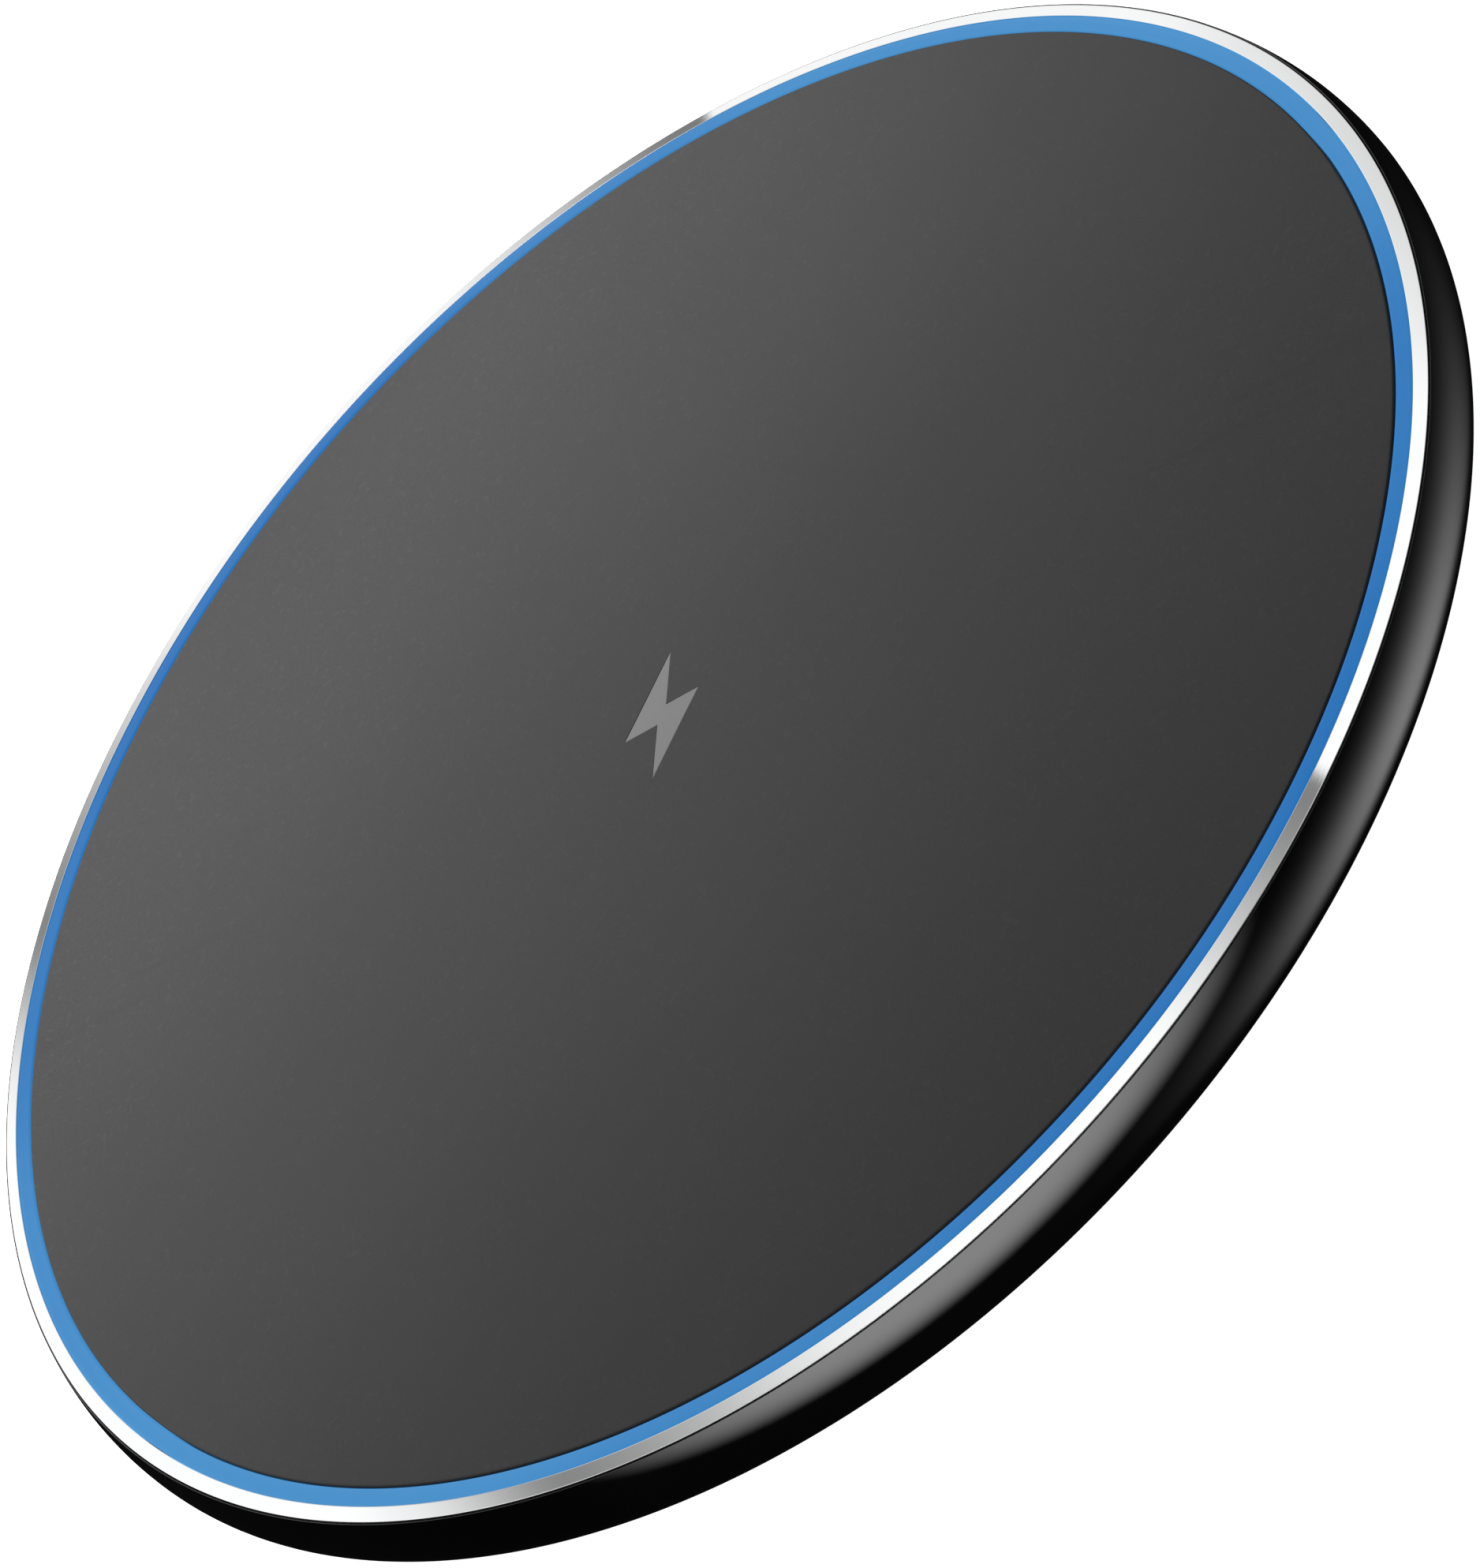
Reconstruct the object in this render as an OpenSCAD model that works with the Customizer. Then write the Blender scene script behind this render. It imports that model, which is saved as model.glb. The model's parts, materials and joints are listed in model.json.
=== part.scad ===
// Round wireless charging pad.
// Millimetres, +Z up. The origin is the middle of the surface that the foot ring stands on.
// +Y points to the back of the pad, where the USB-C socket is.

/* [Body] */
// Widest diameter of the pad
pad_d = 100; // [100:0.5:104]
// Height from the table to the charging surface
pad_h = 8.2; // [8.2:0.05:8.3]
// Depth of the widest line below the charging surface
edge_drop = 2.73; // [2.6:0.01:2.9]
// Radius of the round edge below the widest line
edge_r = 2.25; // [2:0.05:2.4]
// Slope of the underside, from the table up to the round edge, in degrees
under_slope = 35; // [35:1:38]
// Thickness of the outer shell's wall
shell_wall = 1.7; // [1.5:0.1:1.8]

/* [Top] */
// Thickness of the top panel
panel_t = 1.1; // [0.9:0.05:1.1]
// Visible width of the blue light ring
light_w = 1.03; // [0.8:0.01:1.1]
// Visible width of the bright trim ring
trim_w = 0.87; // [0.75:0.01:0.95]
// Distance from the pad's widest radius in to the trim ring's outer edge
trim_inset = 0.68; // [0.6:0.01:0.75]
// Fall of the trim ring's face from its inner to its outer edge
trim_fall = 0.1; // [0:0.01:0.15]
// Height of the lightning bolt mark
mark_h = 9; // [6:0.5:12]

/* [Base] */
// Thickness of the base plate
base_t = 1.2; // [1.1:0.05:1.2]
// Height of the base plate's face above the table, which the foot ring stands out by
foot_proud = 0.4; // [0.35:0.05:0.45]
// Width of the foot ring
foot_w = 4; // [3:0.1:4]
// Radius of the circle that the four screws lie on
screw_circle_r = 33.5; // [33:0.1:33.5]

/* [Coil] */
// Radius of the innermost turn
coil_inner_r = 10.25; // [9.8:0.05:10.5]
// Distance from turn to turn
coil_pitch = 0.98; // [0.96:0.01:1]
// Diameter of the litz wire
wire_d = 0.9; // [0.7:0.05:0.9]
// Radius of the ferrite sheet
ferrite_r = 24.2; // [23:0.1:24.4]

/* [Lights] */
// Number of LEDs round the board
led_count = 12; // [4:2:20]

/* [Hidden] */
$fn = 96;

// Clearance between pieces that slip into each other
gap = 0.03;
// Overshoot of a cutting shape past the face that it cuts
cut = 1;

// Radii, from the widest point of the pad inwards
pad_r = pad_d / 2;
trim_r = pad_r - trim_inset;
light_r = trim_r - trim_w;
panel_r = light_r - light_w;

// Heights of the outside
edge_z = pad_h - edge_drop;
trim_z = pad_h - trim_fall;
lip_z = trim_z - 0.05;
lip_w = 0.12;
mark_t = 0.15;

// The upper side is an arc from the widest point, where it is upright, to the shell's lip
upper_run = pad_r - trim_r - lip_w;
upper_rise = lip_z - edge_z;
upper_r = (upper_run * upper_run + upper_rise * upper_rise) / (2 * upper_run);

// The round edge ends where its tangent has the underside's slope, and a cone goes on to the base
edge_x = pad_r - edge_r;
edge_end_x = edge_x + edge_r * sin(under_slope);
edge_end_z = edge_z - edge_r * cos(under_slope);
under_x = edge_end_x - (edge_end_z - foot_proud) / tan(under_slope);

// Deck under the panel: the light ring's flange and the carrier's flange lie level
tape_t = 0.1;
deck_t = 0.7;
deck_top_z = pad_h - panel_t - tape_t;
deck_z = deck_top_z - deck_t;

// Shell
ledge_t = 0.6;
ledge_r = 46.4;
seat_z = deck_z + 0.4;
trim_foot_w = 0.5;
trim_head_t = 0.35;
base_top_z = foot_proud + base_t;
base_stop_t = 0.5;
base_r = under_x - 0.85;
base_opening_r = base_r + 0.15;
base_stop_r = base_r - 1.8;

// Board
board_z = 1.82;
board_t = 0.8;
board_top_z = board_z + board_t;
board_r = base_stop_r - 0.6;
tongue_w = 11;
tongue_y = pad_r - 5.4;

// Screws, their pockets in the base plate and their bosses on the carrier
screw_angles = [45, 135, 225, 315];
screw_head_r = 1.9;
screw_head_t = 0.9;
screw_shank_r = 0.8;
screw_seat_z = foot_proud + 1.1;
screw_tip_z = 5.4;
pocket_r = 2.3;
cup_r = 3.1;
clear_hole_r = 1.1;
boss_r = 2.5;
pilot_r = 0.82;
pilot_top_z = 5.6;

// Foot ring
foot_outer_r = 41;
foot_groove = 0.5;

// Coil carrier
tray_floor_z = 4.1;
tray_floor_t = 0.8;
tray_r = 29.5;
tray_wall = 1.2;
carrier_flange_r = 38.4;
ferrite_z = tray_floor_z + tray_floor_t;
ferrite_t = 0.9;
coil_tape_z = ferrite_z + ferrite_t;
coil_tape_t = 0.1;
wire_r = wire_d / 2;
coil_z = coil_tape_z + coil_tape_t + wire_r;

// The spiral is made of half circles about two centres, each half a pitch wider than the last
coil_halves = 19;
half_step = coil_pitch / 2;
coil_last_r = coil_inner_r + coil_halves * half_step;
lead_bend_r = 2.5;
outer_lead_x = half_step + lead_bend_r;
lead_z = ferrite_z + wire_r;
lead_end_y = -32.6;
solder_h = 0.5;
slot_w = 1.1;
thermistor_r = 1;

// Light
reflector_r = 38.2;
reflector_wall = 0.8;
flange_inner_r = 38.8;
led_circle_r = 39.7;

// USB-C socket
usb_w = 8.94;
usb_h = 3.16;
usb_wall = 0.28;
usb_front_y = pad_r - 0.8;
usb_back_y = usb_front_y - 8;
usb_z = board_top_z + usb_h / 2;
usb_cut_gap = 0.15;
usb_block_y = usb_back_y + 1.9;
usb_tongue_t = 0.7;
contact_pitch = 0.5;
contact_count = 12;

// Flat face round the socket, level with its mouth; it stands out of the underside
port_face_y = usb_front_y + 0.1;
port_back_y = port_face_y - 3.3;
port_w = 13;
port_h = 4.3;
port_corner_r = 0.9;

// Colours
shell_black = [0.03, 0.03, 0.032];
panel_grey = [0.26, 0.26, 0.265];
ring_blue = [0.22, 0.5, 0.78];
bright_metal = [0.86, 0.87, 0.88];
board_green = [0.05, 0.28, 0.16];
copper = [0.72, 0.42, 0.22];
steel = [0.72, 0.73, 0.75];
chip_black = [0.08, 0.08, 0.085];

// Moves its children to a place on the board, turned so that their Y points outwards
module at_polar(r, angle, z) {
    rotate([0, 0, angle - 90]) translate([0, r, z]) children();
}

// Repeats its children at the four screws
module at_screws(z) {
    for (angle = screw_angles) at_polar(screw_circle_r, angle, z) children();
}

// Flat ring
module washer(outer_r, inner_r, t) {
    rotate_extrude() translate([inner_r, 0]) square([outer_r - inner_r, t]);
}

// Rounded slot with full round ends, centred, upright along Y
module stadium(w, h) {
    flat_w = w - h;
    square([flat_w, h], center = true);
    for (side = [-1, 1]) translate([side * flat_w / 2, 0]) circle(d = h);
}

// A stadium carried along Y from y0 to y1 at the socket's height
module usb_prism(w, h, y0, y1) {
    translate([0, y1, usb_z]) rotate([90, 0, 0]) linear_extrude(y1 - y0) stadium(w, h);
}

// Half of the pad's outline from the middle out, without the panel and its rings
module body_outline() {
    polygon([
        [0, foot_proud], [under_x, foot_proud], [edge_end_x, edge_end_z], [edge_x, edge_z], [0, edge_z]
    ]);
    intersection() {
        translate([edge_x, edge_z]) circle(r = edge_r);
        translate([0, foot_proud]) square([pad_r, edge_z - foot_proud]);
    }
    intersection() {
        translate([pad_r - upper_r, edge_z]) circle(r = upper_r);
        translate([0, edge_z]) square([pad_r, upper_rise]);
    }
    translate([0, edge_z]) square([pad_r - upper_r, upper_rise]);
}

// Cavity between the stop for the base plate and the ledge for the light ring
module cavity_outline() {
    wall_x = pad_r - shell_wall;
    cavity_z = base_top_z + base_stop_t;
    cavity_top_z = deck_z - ledge_t;
    inner_x = under_x - shell_wall * sin(under_slope);
    inner_z = foot_proud + shell_wall * cos(under_slope);
    polygon([
        [0, cavity_z], [inner_x + (cavity_z - inner_z) / tan(under_slope), cavity_z],
        [wall_x, inner_z + (wall_x - inner_x) * tan(under_slope)], [wall_x, cavity_top_z],
        [0, cavity_top_z]
    ]);
}

// Openings that the base plate, the light ring and the trim ring sit in
module seats_outline() {
    translate([0, foot_proud - cut]) square([base_opening_r, base_t + cut]);
    square([base_stop_r, pad_h]);
    translate([0, deck_z - ledge_t - cut]) square([ledge_r, pad_h]);
    translate([0, deck_z]) square([light_r + gap, pad_h]);
    translate([0, seat_z]) square([light_r + trim_foot_w + gap, pad_h]);
    translate([0, trim_z - trim_head_t]) square([trim_r + gap, pad_h]);
}

// The block round the socket, carried along Y from y0 to y1
module port_prism(y0, y1) {
    flat_w = port_w - 2 * port_corner_r;
    flat_h = port_h - 2 * port_corner_r;
    translate([0, y1, usb_z]) rotate([90, 0, 0]) linear_extrude(y1 - y0) {
        square([port_w, flat_h], center = true);
        square([flat_w, port_h], center = true);
        for (x = [-1, 1], z = [-1, 1])
            translate([x * flat_w / 2, z * flat_h / 2]) circle(r = port_corner_r);
    }
}

module outer_shell() {
    tongue_gap = 0.3;
    color(shell_black) difference() {
        union() {
            rotate_extrude($fn = 180) difference() {
                body_outline();
                cavity_outline();
            }
            port_prism(port_back_y, port_face_y);
        }
        rotate_extrude($fn = 180) seats_outline();
        port_prism(port_face_y, pad_r + cut);
        usb_prism(usb_w + 2 * usb_cut_gap, usb_h + 2 * usb_cut_gap, usb_back_y - cut, pad_r + cut);
        translate([-tongue_w / 2 - tongue_gap, base_stop_r - cut, base_top_z])
            cube([tongue_w + 2 * tongue_gap, tongue_y + tongue_gap - base_stop_r + cut, usb_z - base_top_z]);
    }
}

module base_plate() {
    rib_t = 0.8;
    rib_h = 0.15;
    hub_r = 6;
    rim_rib_r = 28;
    color(shell_black) difference() {
        union() {
            translate([0, 0, foot_proud]) cylinder(r = base_r, h = base_t, $fn = 180);
            at_screws(foot_proud) cylinder(r = cup_r, h = board_z - foot_proud);
            translate([0, 0, base_top_z]) {
                washer(rim_rib_r, rim_rib_r - rib_t, rib_h);
                washer(hub_r, hub_r - rib_t, rib_h);
                for (angle = [0 : 45 : 315]) rotate([0, 0, angle])
                    translate([hub_r - rib_t / 2, -rib_t / 2, 0])
                    cube([rim_rib_r - hub_r, rib_t, rib_h]);
            }
        }
        translate([0, 0, foot_proud - cut])
            washer(foot_outer_r + gap, foot_outer_r - foot_w - gap, foot_groove + cut);
        at_screws(foot_proud - cut) cylinder(r = pocket_r, h = screw_seat_z - foot_proud + cut);
        at_screws(0) cylinder(r = clear_hole_r, h = board_z + cut);
    }
}

// Silicone ring with two shallow grip grooves in its face
module foot_ring() {
    groove_w = 0.5;
    groove_t = 0.2;
    inner_r = foot_outer_r - foot_w;
    color([0.1, 0.1, 0.105]) rotate_extrude($fn = 180) difference() {
        translate([inner_r, 0]) square([foot_w, foot_proud + foot_groove]);
        for (share = [1 / 3, 2 / 3])
            translate([inner_r + foot_w * share - groove_w / 2, -cut]) square([groove_w, cut + groove_t]);
    }
}

// Four pan head screws with cross recesses; the shanks are plain
module base_screws() {
    recess_w = 0.5;
    recess_l = 2.2;
    recess_t = 0.5;
    head_z = screw_seat_z - screw_head_t;
    color(steel) at_screws(0) difference() {
        union() {
            translate([0, 0, head_z]) cylinder(r = screw_head_r, h = screw_head_t);
            translate([0, 0, screw_seat_z]) cylinder(r = screw_shank_r, h = screw_tip_z - screw_seat_z);
        }
        for (turn = [0, 90]) rotate([0, 0, turn])
            translate([-recess_l / 2, -recess_w / 2, head_z - cut])
            cube([recess_l, recess_w, recess_t + cut]);
    }
}

// Lightning bolt, symmetric about its middle
module bolt_outline() {
    tip_x = 0.07 * mark_h;
    wing_x = 0.29 * mark_h;
    wing_y = 0.07 * mark_h;
    notch_x = 0.035 * mark_h;
    polygon([
        [tip_x, mark_h / 2], [-wing_x, -wing_y], [-notch_x, -wing_y],
        [-tip_x, -mark_h / 2], [wing_x, wing_y], [notch_x, wing_y]
    ]);
}

module top_panel() {
    edge = 0.08;
    r = panel_r - 2 * gap;
    z = pad_h - panel_t;
    color(panel_grey) difference() {
        rotate_extrude($fn = 180)
            polygon([[0, z], [r, z], [r, pad_h - edge], [r - edge, pad_h], [0, pad_h]]);
        translate([0, 0, pad_h - mark_t]) linear_extrude(mark_t + cut) bolt_outline();
    }
}

module charge_mark() {
    color([0.54, 0.54, 0.55]) translate([0, 0, pad_h - mark_t]) linear_extrude(mark_t) bolt_outline();
}

// Upright rib that shows, on a flange that takes in the light of the LEDs below
module light_ring() {
    bevel = 0.4;
    color(ring_blue) rotate_extrude($fn = 180) polygon([
        [flange_inner_r + bevel, deck_z], [light_r, deck_z], [light_r, pad_h],
        [panel_r, pad_h], [panel_r, deck_top_z], [flange_inner_r, deck_top_z],
        [flange_inner_r, deck_z + bevel]
    ]);
}

// Polished ring whose head covers the shell's shoulder
module trim_ring() {
    head_z = trim_z - trim_head_t;
    foot_r = light_r + trim_foot_w;
    color(bright_metal) rotate_extrude($fn = 180) polygon([
        [light_r + gap, seat_z], [foot_r, seat_z], [foot_r, head_z], [trim_r, head_z],
        [trim_r, trim_z], [light_r + gap, pad_h]
    ]);
}

module panel_tape() {
    color([0.15, 0.15, 0.15]) translate([0, 0, deck_top_z])
        washer(panel_r - 3 * gap, tray_r - tray_wall, tape_t);
}

// Tray for the coil, a flange under the panel and four screw bosses
module coil_carrier() {
    notch_x = outer_lead_x - 1.1;
    notch_w = coil_inner_r + 1.1 - notch_x;
    color([0.86, 0.86, 0.84]) difference() {
        union() {
            rotate_extrude($fn = 180) polygon([
                [0, tray_floor_z], [tray_r, tray_floor_z], [tray_r, deck_z],
                [carrier_flange_r, deck_z], [carrier_flange_r, deck_top_z],
                [tray_r - tray_wall, deck_top_z], [tray_r - tray_wall, ferrite_z], [0, ferrite_z]
            ]);
            at_screws(board_top_z) cylinder(r = boss_r, h = deck_z - board_top_z + deck_t / 2);
        }
        at_screws(0) cylinder(r = pilot_r, h = pilot_top_z);
        cylinder(r = 2 * thermistor_r, h = pad_h);
        translate([notch_x, -tray_r - cut, ferrite_z])
            cube([notch_w, tray_r - ferrite_r + cut, deck_z - ferrite_z]);
    }
}

// Slot that the inner lead passes through, under the turns
module inner_lead_slot() {
    translate([coil_inner_r - slot_w / 2, -ferrite_r - cut, ferrite_z - cut])
        cube([slot_w, ferrite_r + cut + wire_r + 0.15, ferrite_t + coil_tape_t + 2 * cut]);
}

module ferrite_sheet() {
    color([0.2, 0.2, 0.22]) difference() {
        translate([0, 0, ferrite_z]) washer(ferrite_r, 2 * thermistor_r + 0.5, ferrite_t);
        inner_lead_slot();
    }
}

module coil_tape() {
    color([0.85, 0.78, 0.5]) difference() {
        translate([0, 0, coil_tape_z]) washer(coil_last_r + 1.5, coil_inner_r - 1.5, coil_tape_t);
        inner_lead_slot();
    }
}

// Part of a turn of the wire
module turn(r, angle) {
    rotate_extrude(angle = angle) translate([r, 0]) circle(r = wire_r, $fn = 24);
}

// Flat spiral; its outer end bends outwards beside the inner lead
module transmit_coil() {
    color(copper) translate([0, 0, coil_z]) {
        for (half = [0 : coil_halves - 1])
            translate([half % 2 * half_step, 0, 0]) rotate([0, 0, half % 2 * 180])
            turn(coil_inner_r + half * half_step, 180);
        translate([half_step, 0, 0]) rotate([0, 0, 180]) turn(coil_last_r, 90);
        translate([half_step, -coil_last_r - lead_bend_r, 0]) turn(lead_bend_r, 90);
    }
}

// Arc of the wire in the plane of Y and Z at x, about the point (y, z)
module upright_turn(x, y, z, r, from, angle) {
    translate([x, y, z]) rotate([90, 0, 90]) rotate([0, 0, from]) turn(r, angle);
}

// Straight stretch of the wire along Y, between two places
module level_wire(x, y0, y1, z) {
    translate([x, y1, z]) rotate([90, 0, 0]) cylinder(r = wire_r, h = y1 - y0);
}

// One lead: level from y, two quarter turns down to the ferrite's level, level to its end and down
// to the solder
module coil_lead(x, y, level_run) {
    step_r = (coil_z - lead_z) / 2;
    bend_y = y - level_run;
    low_y = bend_y - 2 * step_r;
    knee_r = 1.5;
    solder_top_z = board_top_z + solder_h;
    level_wire(x, bend_y, y, coil_z);
    upright_turn(x, bend_y, coil_z - step_r, step_r, 90, 90);
    upright_turn(x, low_y, lead_z + step_r, step_r, -90, 90);
    level_wire(x, lead_end_y + knee_r, low_y, lead_z);
    upright_turn(x, lead_end_y + knee_r, lead_z - knee_r, knee_r, 90, 90);
    translate([x, lead_end_y, solder_top_z]) cylinder(r = wire_r, h = lead_z - knee_r - solder_top_z);
}

// Sleeved leads from the spiral's two ends to the board; the inner one passes out under the turns
module coil_leads() {
    color([0.75, 0.2, 0.15]) {
        coil_lead(outer_lead_x, -coil_last_r - lead_bend_r, 2.4);
        coil_lead(coil_inner_r, 0, 0.1);
    }
}

module coil_solder() {
    color([0.78, 0.78, 0.8]) for (x = [outer_lead_x, coil_inner_r])
        translate([x, lead_end_y, board_top_z]) cylinder(r1 = 1.3, r2 = 0.8, h = solder_h);
}

// Glass bead that touches the panel from below, on two leads from the board
module thermistor() {
    bead_z = pad_h - panel_t - thermistor_r - gap;
    lead_x = 0.45;
    color([0.12, 0.12, 0.13]) {
        translate([0, 0, bead_z]) sphere(r = thermistor_r);
        for (side = [-1, 1])
            translate([side * lead_x, 0, board_top_z]) cylinder(r = 0.2, h = bead_z - board_top_z);
    }
}

module light_reflector() {
    color([0.95, 0.95, 0.95]) translate([0, 0, board_top_z])
        washer(reflector_r, reflector_r - reflector_wall, deck_z - board_top_z);
}

module main_board() {
    color(board_green) translate([0, 0, board_z]) difference() {
        linear_extrude(board_t) {
            circle(r = board_r, $fn = 180);
            translate([-tongue_w / 2, 0]) square([tongue_w, tongue_y]);
        }
        at_screws(-cut) cylinder(r = clear_hole_r, h = board_t + 2 * cut);
    }
}

// A small package with a terminal at each end, centred on its footprint
module two_terminal(l, w, h) {
    end_l = l / 5;
    end_t = 0.03;
    translate([-l / 2, -w / 2, 0]) cube([l, w, h]);
    for (side = [-1, 1])
        translate([side * (l - end_l) / 2 - end_l / 2, -w / 2 - end_t, 0])
        cube([end_l, w + 2 * end_t, h + end_t]);
}

// A flat chip with pads along its edges and a dimple at pin 1
module flat_chip(side_l, h, pins) {
    pad_w = 0.3;
    pad_out = 0.08;
    pad_t = 0.15;
    dimple_r = 0.3;
    pad_pitch = (side_l - 1) / (pins - 1);
    difference() {
        translate([-side_l / 2, -side_l / 2, 0]) cube([side_l, side_l, h]);
        translate([-side_l / 2 + 0.8, side_l / 2 - 0.8, h - 0.08]) cylinder(r = dimple_r, h = cut);
    }
    for (turn = [0, 90], i = [0 : pins - 1]) rotate([0, 0, turn])
        translate([0.5 - side_l / 2 + i * pad_pitch - pad_w / 2, -side_l / 2 - pad_out, 0])
        cube([pad_w, side_l + 2 * pad_out, pad_t]);
}

module ring_leds() {
    led_step = 360 / led_count;
    color([0.75, 0.85, 1]) for (i = [0 : led_count - 1])
        at_polar(led_circle_r, (i + 0.5) * led_step, board_top_z) two_terminal(2, 1.25, 0.8);
}

module controller_chip() {
    color(chip_black) at_polar(33.4, 180, board_top_z) flat_chip(5, 0.85, 8);
}

module bridge_chips() {
    color(chip_black) for (angle = [196, 209]) at_polar(33.4, angle, board_top_z) flat_chip(4, 0.9, 5);
}

module protocol_chip() {
    color(chip_black) at_polar(33.4, 158, board_top_z) flat_chip(3, 0.75, 4);
}

module resonance_capacitors() {
    color([0.72, 0.6, 0.45]) for (angle = [-21, -7, 7, 21])
        at_polar(33.4, angle, board_top_z) two_terminal(4.5, 3.2, 2);
}

// Moulded block inductor with its two end terminals
module power_inductor() {
    color([0.3, 0.3, 0.31]) at_polar(33.6, 90, board_top_z) {
        translate([-2.5, -2.5, 0.1]) cube([5, 5, 2.9]);
        for (side = [-1, 1]) translate([side * 2.2 - 0.4, -1.5, 0]) cube([0.8, 3, 1.2]);
    }
}

module input_capacitors() {
    color([0.72, 0.6, 0.45]) for (angle = [72, 108])
        at_polar(34, angle, board_top_z) two_terminal(3.2, 2.5, 2.5);
}

module sense_resistor() {
    color(chip_black) at_polar(33.4, 246, board_top_z) two_terminal(3.2, 1.6, 0.6);
}

// Small parts in arcs: each group is its circle's radius, its first and last angle and its count
module small_passives() {
    groups = [
        [31.2, 60, 120, 13], [31, 146, 170, 6], [36, 146, 172, 7], [36, 188, 214, 7],
        [31, 238, 256, 5], [35.6, 240, 262, 6], [31, 290, 306, 5], [24, 20, 340, 17]
    ];
    color([0.55, 0.5, 0.42]) for (group = groups, i = [0 : group[3] - 1]) {
        step = (group[2] - group[1]) / (group[3] - 1);
        at_polar(group[0], group[1] + i * step, board_top_z) two_terminal(1, 0.5, 0.4);
    }
}

// Stadium tube with a closed back and four side tabs on the board
module usb_shell() {
    tab_out = 0.6;
    tab_l = 1.2;
    tab_t = 0.3;
    color(steel) {
        difference() {
            usb_prism(usb_w, usb_h, usb_back_y, usb_front_y);
            usb_prism(usb_w - 2 * usb_wall, usb_h - 2 * usb_wall, usb_back_y + usb_wall, usb_front_y + cut);
        }
        for (side = [-1, 1], y = [usb_back_y, tongue_y - tab_l - 0.3]) difference() {
            translate([side * (usb_w + 2 * tab_out) / 4 - (usb_w / 2 + tab_out) / 2, y, board_top_z])
                cube([usb_w / 2 + tab_out, tab_l, tab_t]);
            usb_prism(usb_w - usb_wall, usb_h - usb_wall, usb_back_y - cut, usb_front_y);
        }
    }
}

module usb_tongue() {
    tongue_w = 6.69;
    inner_w = usb_w - 2 * usb_wall - gap;
    inner_h = usb_h - 2 * usb_wall - gap;
    color([0.06, 0.06, 0.06]) {
        usb_prism(inner_w, inner_h, usb_back_y + usb_wall + gap, usb_block_y);
        translate([-tongue_w / 2, usb_block_y, usb_z - usb_tongue_t / 2])
            cube([tongue_w, usb_front_y - 0.8 - usb_block_y, usb_tongue_t]);
    }
}

// Twelve contacts on each face of the tongue and twelve tails on the board
module usb_contacts() {
    contact_w = 0.25;
    contact_t = 0.05;
    contact_l = 4.2;
    tail_l = 0.8;
    tail_t = 0.15;
    color([0.85, 0.68, 0.3]) for (i = [0 : contact_count - 1]) {
        x = (i - (contact_count - 1) / 2) * contact_pitch - contact_w / 2;
        for (z = [usb_z + usb_tongue_t / 2, usb_z - usb_tongue_t / 2 - contact_t])
            translate([x, usb_block_y + 0.3, z]) cube([contact_w, contact_l, contact_t]);
        translate([x, usb_back_y - tail_l, board_top_z]) cube([contact_w, tail_l, tail_t]);
    }
}

outer_shell();
base_plate();
foot_ring();
base_screws();
top_panel();
charge_mark();
light_ring();
trim_ring();
panel_tape();
coil_carrier();
ferrite_sheet();
coil_tape();
transmit_coil();
coil_leads();
coil_solder();
thermistor();
light_reflector();
main_board();
ring_leds();
controller_chip();
bridge_chips();
protocol_chip();
resonance_capacitors();
power_inductor();
input_capacitors();
sense_resistor();
small_passives();
usb_shell();
usb_tongue();
usb_contacts();
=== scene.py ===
# %% [markdown]
# # A round wireless charging pad
# The pad is a slim disc 10 cm across. A satin grey panel lies in a blue light ring, the light ring lies
# in a polished trim ring, and a glossy black shell with a rounded side holds them all. A phone is laid
# on the panel, and the coil under it passes power up to the phone.
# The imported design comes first, as a frame that nothing here moves. It gives every size that the looks
# need, so each new piece drops into its place with no fitting.

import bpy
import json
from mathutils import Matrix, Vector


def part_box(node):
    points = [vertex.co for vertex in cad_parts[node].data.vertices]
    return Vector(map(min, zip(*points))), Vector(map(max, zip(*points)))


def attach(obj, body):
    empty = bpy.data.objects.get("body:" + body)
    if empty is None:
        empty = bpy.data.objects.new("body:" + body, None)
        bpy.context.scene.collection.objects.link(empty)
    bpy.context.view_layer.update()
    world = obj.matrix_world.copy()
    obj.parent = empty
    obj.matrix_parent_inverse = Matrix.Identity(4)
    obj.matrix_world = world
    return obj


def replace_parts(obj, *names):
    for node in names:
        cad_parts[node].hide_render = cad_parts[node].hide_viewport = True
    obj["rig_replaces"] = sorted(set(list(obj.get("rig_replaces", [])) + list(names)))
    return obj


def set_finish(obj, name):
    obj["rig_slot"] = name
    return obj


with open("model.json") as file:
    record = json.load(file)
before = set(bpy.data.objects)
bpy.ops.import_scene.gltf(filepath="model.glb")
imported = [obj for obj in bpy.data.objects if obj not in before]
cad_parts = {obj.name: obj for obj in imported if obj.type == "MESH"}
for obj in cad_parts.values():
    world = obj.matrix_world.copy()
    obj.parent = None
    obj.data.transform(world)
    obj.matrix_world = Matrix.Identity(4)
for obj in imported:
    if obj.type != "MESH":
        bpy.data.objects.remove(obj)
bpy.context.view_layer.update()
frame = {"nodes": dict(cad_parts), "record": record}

# %% [markdown]
# Blender works in metres and this pad is a few millimetres thick, so every outline below is written in
# millimetres and is scaled once, when its mesh is made. The main radii and heights are read from the
# boxes of the frame's nodes. A round node's box gives its radius.

# %% Read the main sizes
import json

import bpy
import bmesh
import numpy as np
from mathutils import Matrix, Vector

MM = 0.001


def extent(node):
    """A node's lowest and highest corner in millimetres, to a hundredth."""
    low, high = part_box(node)
    return np.round(np.array(low) / MM, 2), np.round(np.array(high) / MM, 2)


def radius(node):
    """The radius of a round node: half of its box's width."""
    return extent(node)[1][0]


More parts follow.
